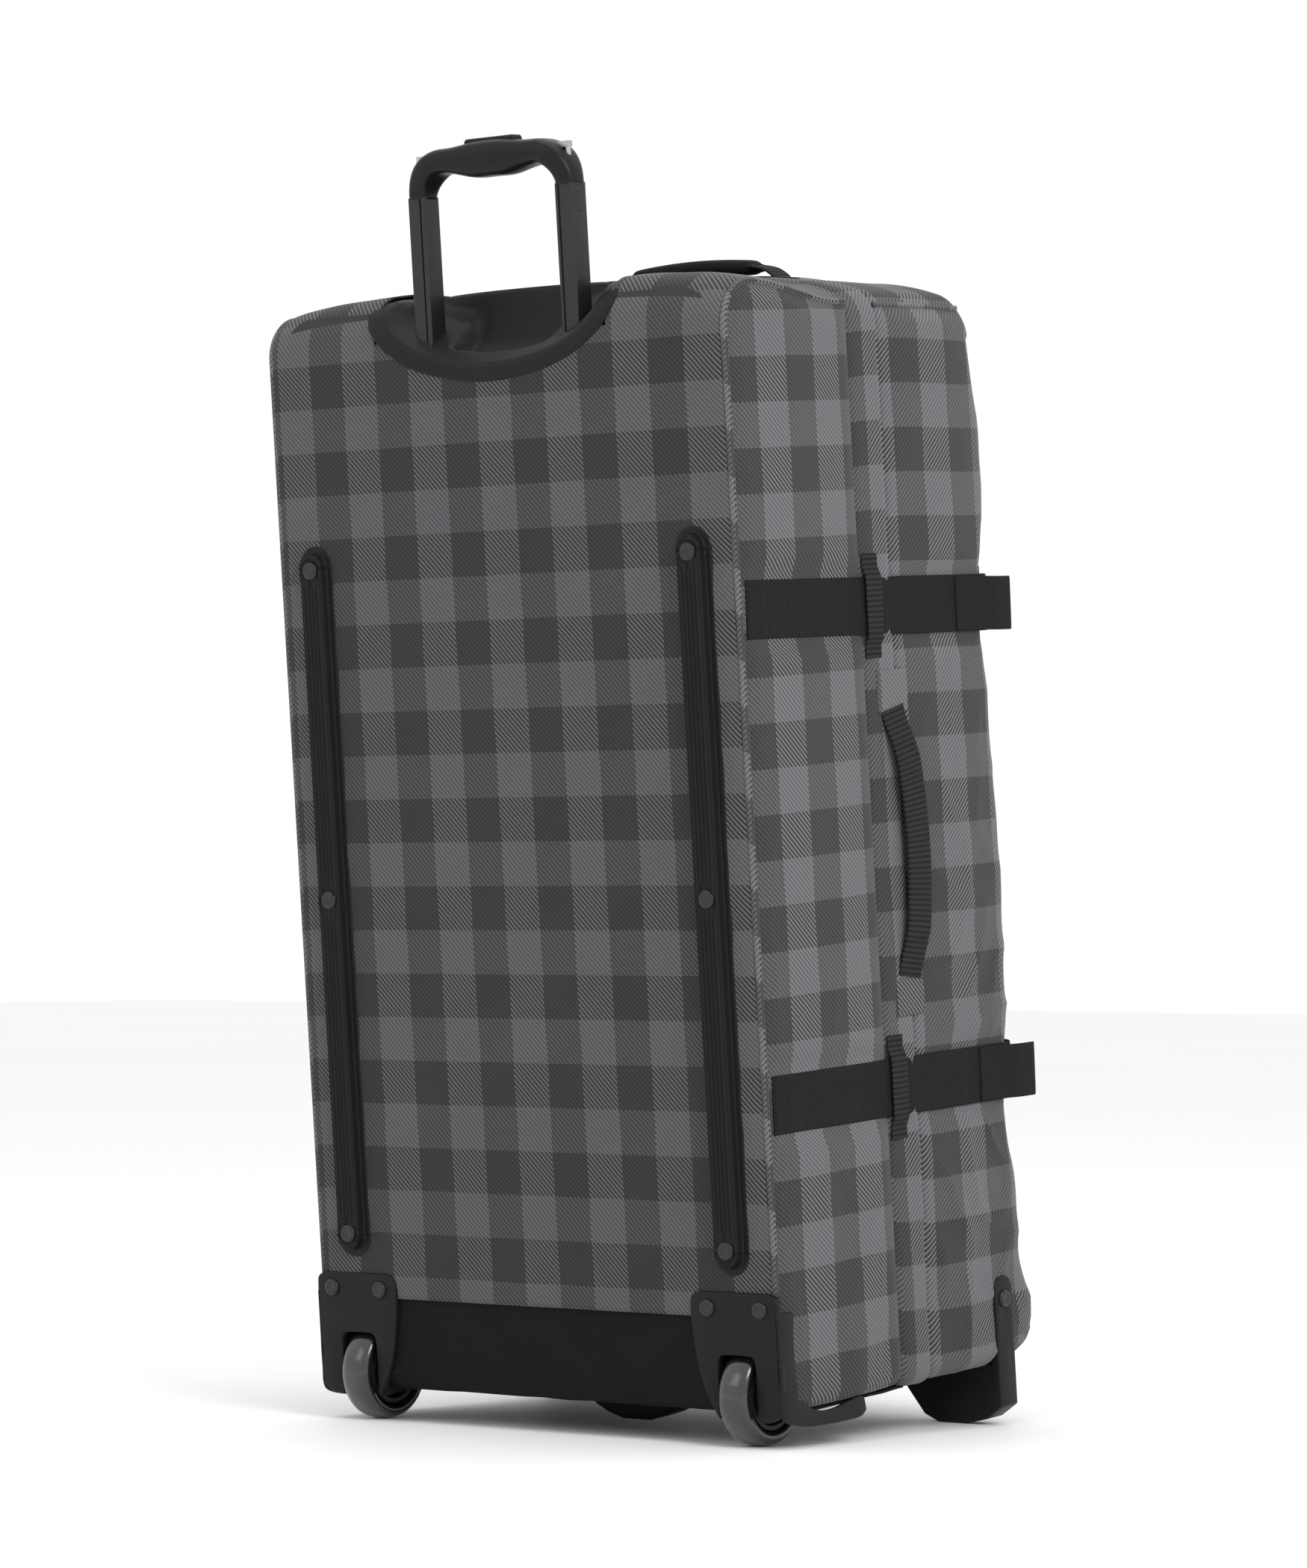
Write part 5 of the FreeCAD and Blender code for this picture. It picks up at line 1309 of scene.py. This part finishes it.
def zipTeeth(path, out, pitch=2.2):
    # two rows of small wedge teeth that alternate along a path
    path = np.asarray(path, float)
    out = np.asarray(out, float)
    length = np.concatenate([[0], np.cumsum(np.linalg.norm(np.diff(path, axis=0), axis=1))])
    at = np.arange(pitch / 2, length[-1], pitch / 2)
    centre = np.stack([np.interp(at, length, path[:, k]) for k in range(3)], -1)
    way = np.gradient(centre, axis=0)
    way /= np.linalg.norm(way, axis=1, keepdims=True)
    across = np.cross(way, out)
    centre = centre + across * (np.where(np.arange(len(at)) % 2, 1, -1) * 1.0)[:, None]
    corner = np.array([(a, b, c) for a in (-1, 1) for b in (-1, 1) for c in (0, 1)], float)
    along, wide, tall = (corner[None, :, k:k + 1] for k in range(3))
    verts = centre[:, None] + along * way[:, None] * 0.5 + wide * across[:, None] * 1.5 + tall * out * 1.3
    faces = np.array([(0, 1, 3, 2), (4, 6, 7, 5), (0, 4, 5, 1), (2, 3, 7, 6), (1, 5, 7, 3), (0, 2, 6, 4)])
    index = np.arange(len(at))[:, None, None] * 8 + faces[None]
    mesh = bpy.data.meshes.new("teeth")
    mesh.from_pydata(toRow(verts).reshape(-1, 3).tolist(), [], index.reshape(-1, 4).tolist())
    outward(mesh)
    return mesh


def makeZips():
    x = np.linspace(-150, 150, 120)
    top = np.stack([x, 0 * x + 148, topHeight(x, 148) + 2.2], -1)
    tape = swept("zipTape", top - [0, 0, 0.4], (0, 1, 0), webSection(16, 0.9))
    piece("topZipTape", tape, cloth["edging"], "bag")
    piece("topZipTeeth", zipTeeth(top, (0, 0, 1)), plastic["gloss"], "bag", ["zip_track"])
    ring = loopPoints(windowLook["half"] - 1, windowLook["low"] + 1, windowLook["top"] - 1, 29, 10, 0)
    ring = np.concatenate([ring, ring[:1]])
    around = np.insert(ring, 1, bag["face"] - 1.2, axis=1)
    piece("lidZipTeeth", zipTeeth(around, (0, 1, 0)), plastic["gloss"], "bag")
    for side in ("left", "right"):
        piece(f"zipSlider{side.title()}", fromNode(f"zip_slider_{side}", 0.4), metal["zip"], f"zip_{side}",
              [f"zip_slider_{side}"])
        piece(f"zipPull{side.title()}", fromNode(f"zip_pull_{side}", 0.35), metal["zip"],
              f"zip_pull_{side}", [f"zip_pull_{side}"])


makeCarryHandle()
makeZips()

# ---- carried-over CAD pieces get their finishes ----

carried = {"back_board": plastic["board"], "base_board": plastic["board"], "tube_sleeves": metal["tube"],
           "sleeve_bracket": plastic["satin"],
           "axles": metal["steel"], "bearings_left": metal["steel"], "bearings_right": metal["steel"],
           "lock_plugs": plastic["satin"],
           "release_rods": metal["steel"]}
for node, material in carried.items():
    obj = frame["nodes"][node]
    obj.data.materials.clear()
    obj.data.materials.append(material)
print("finishes given")
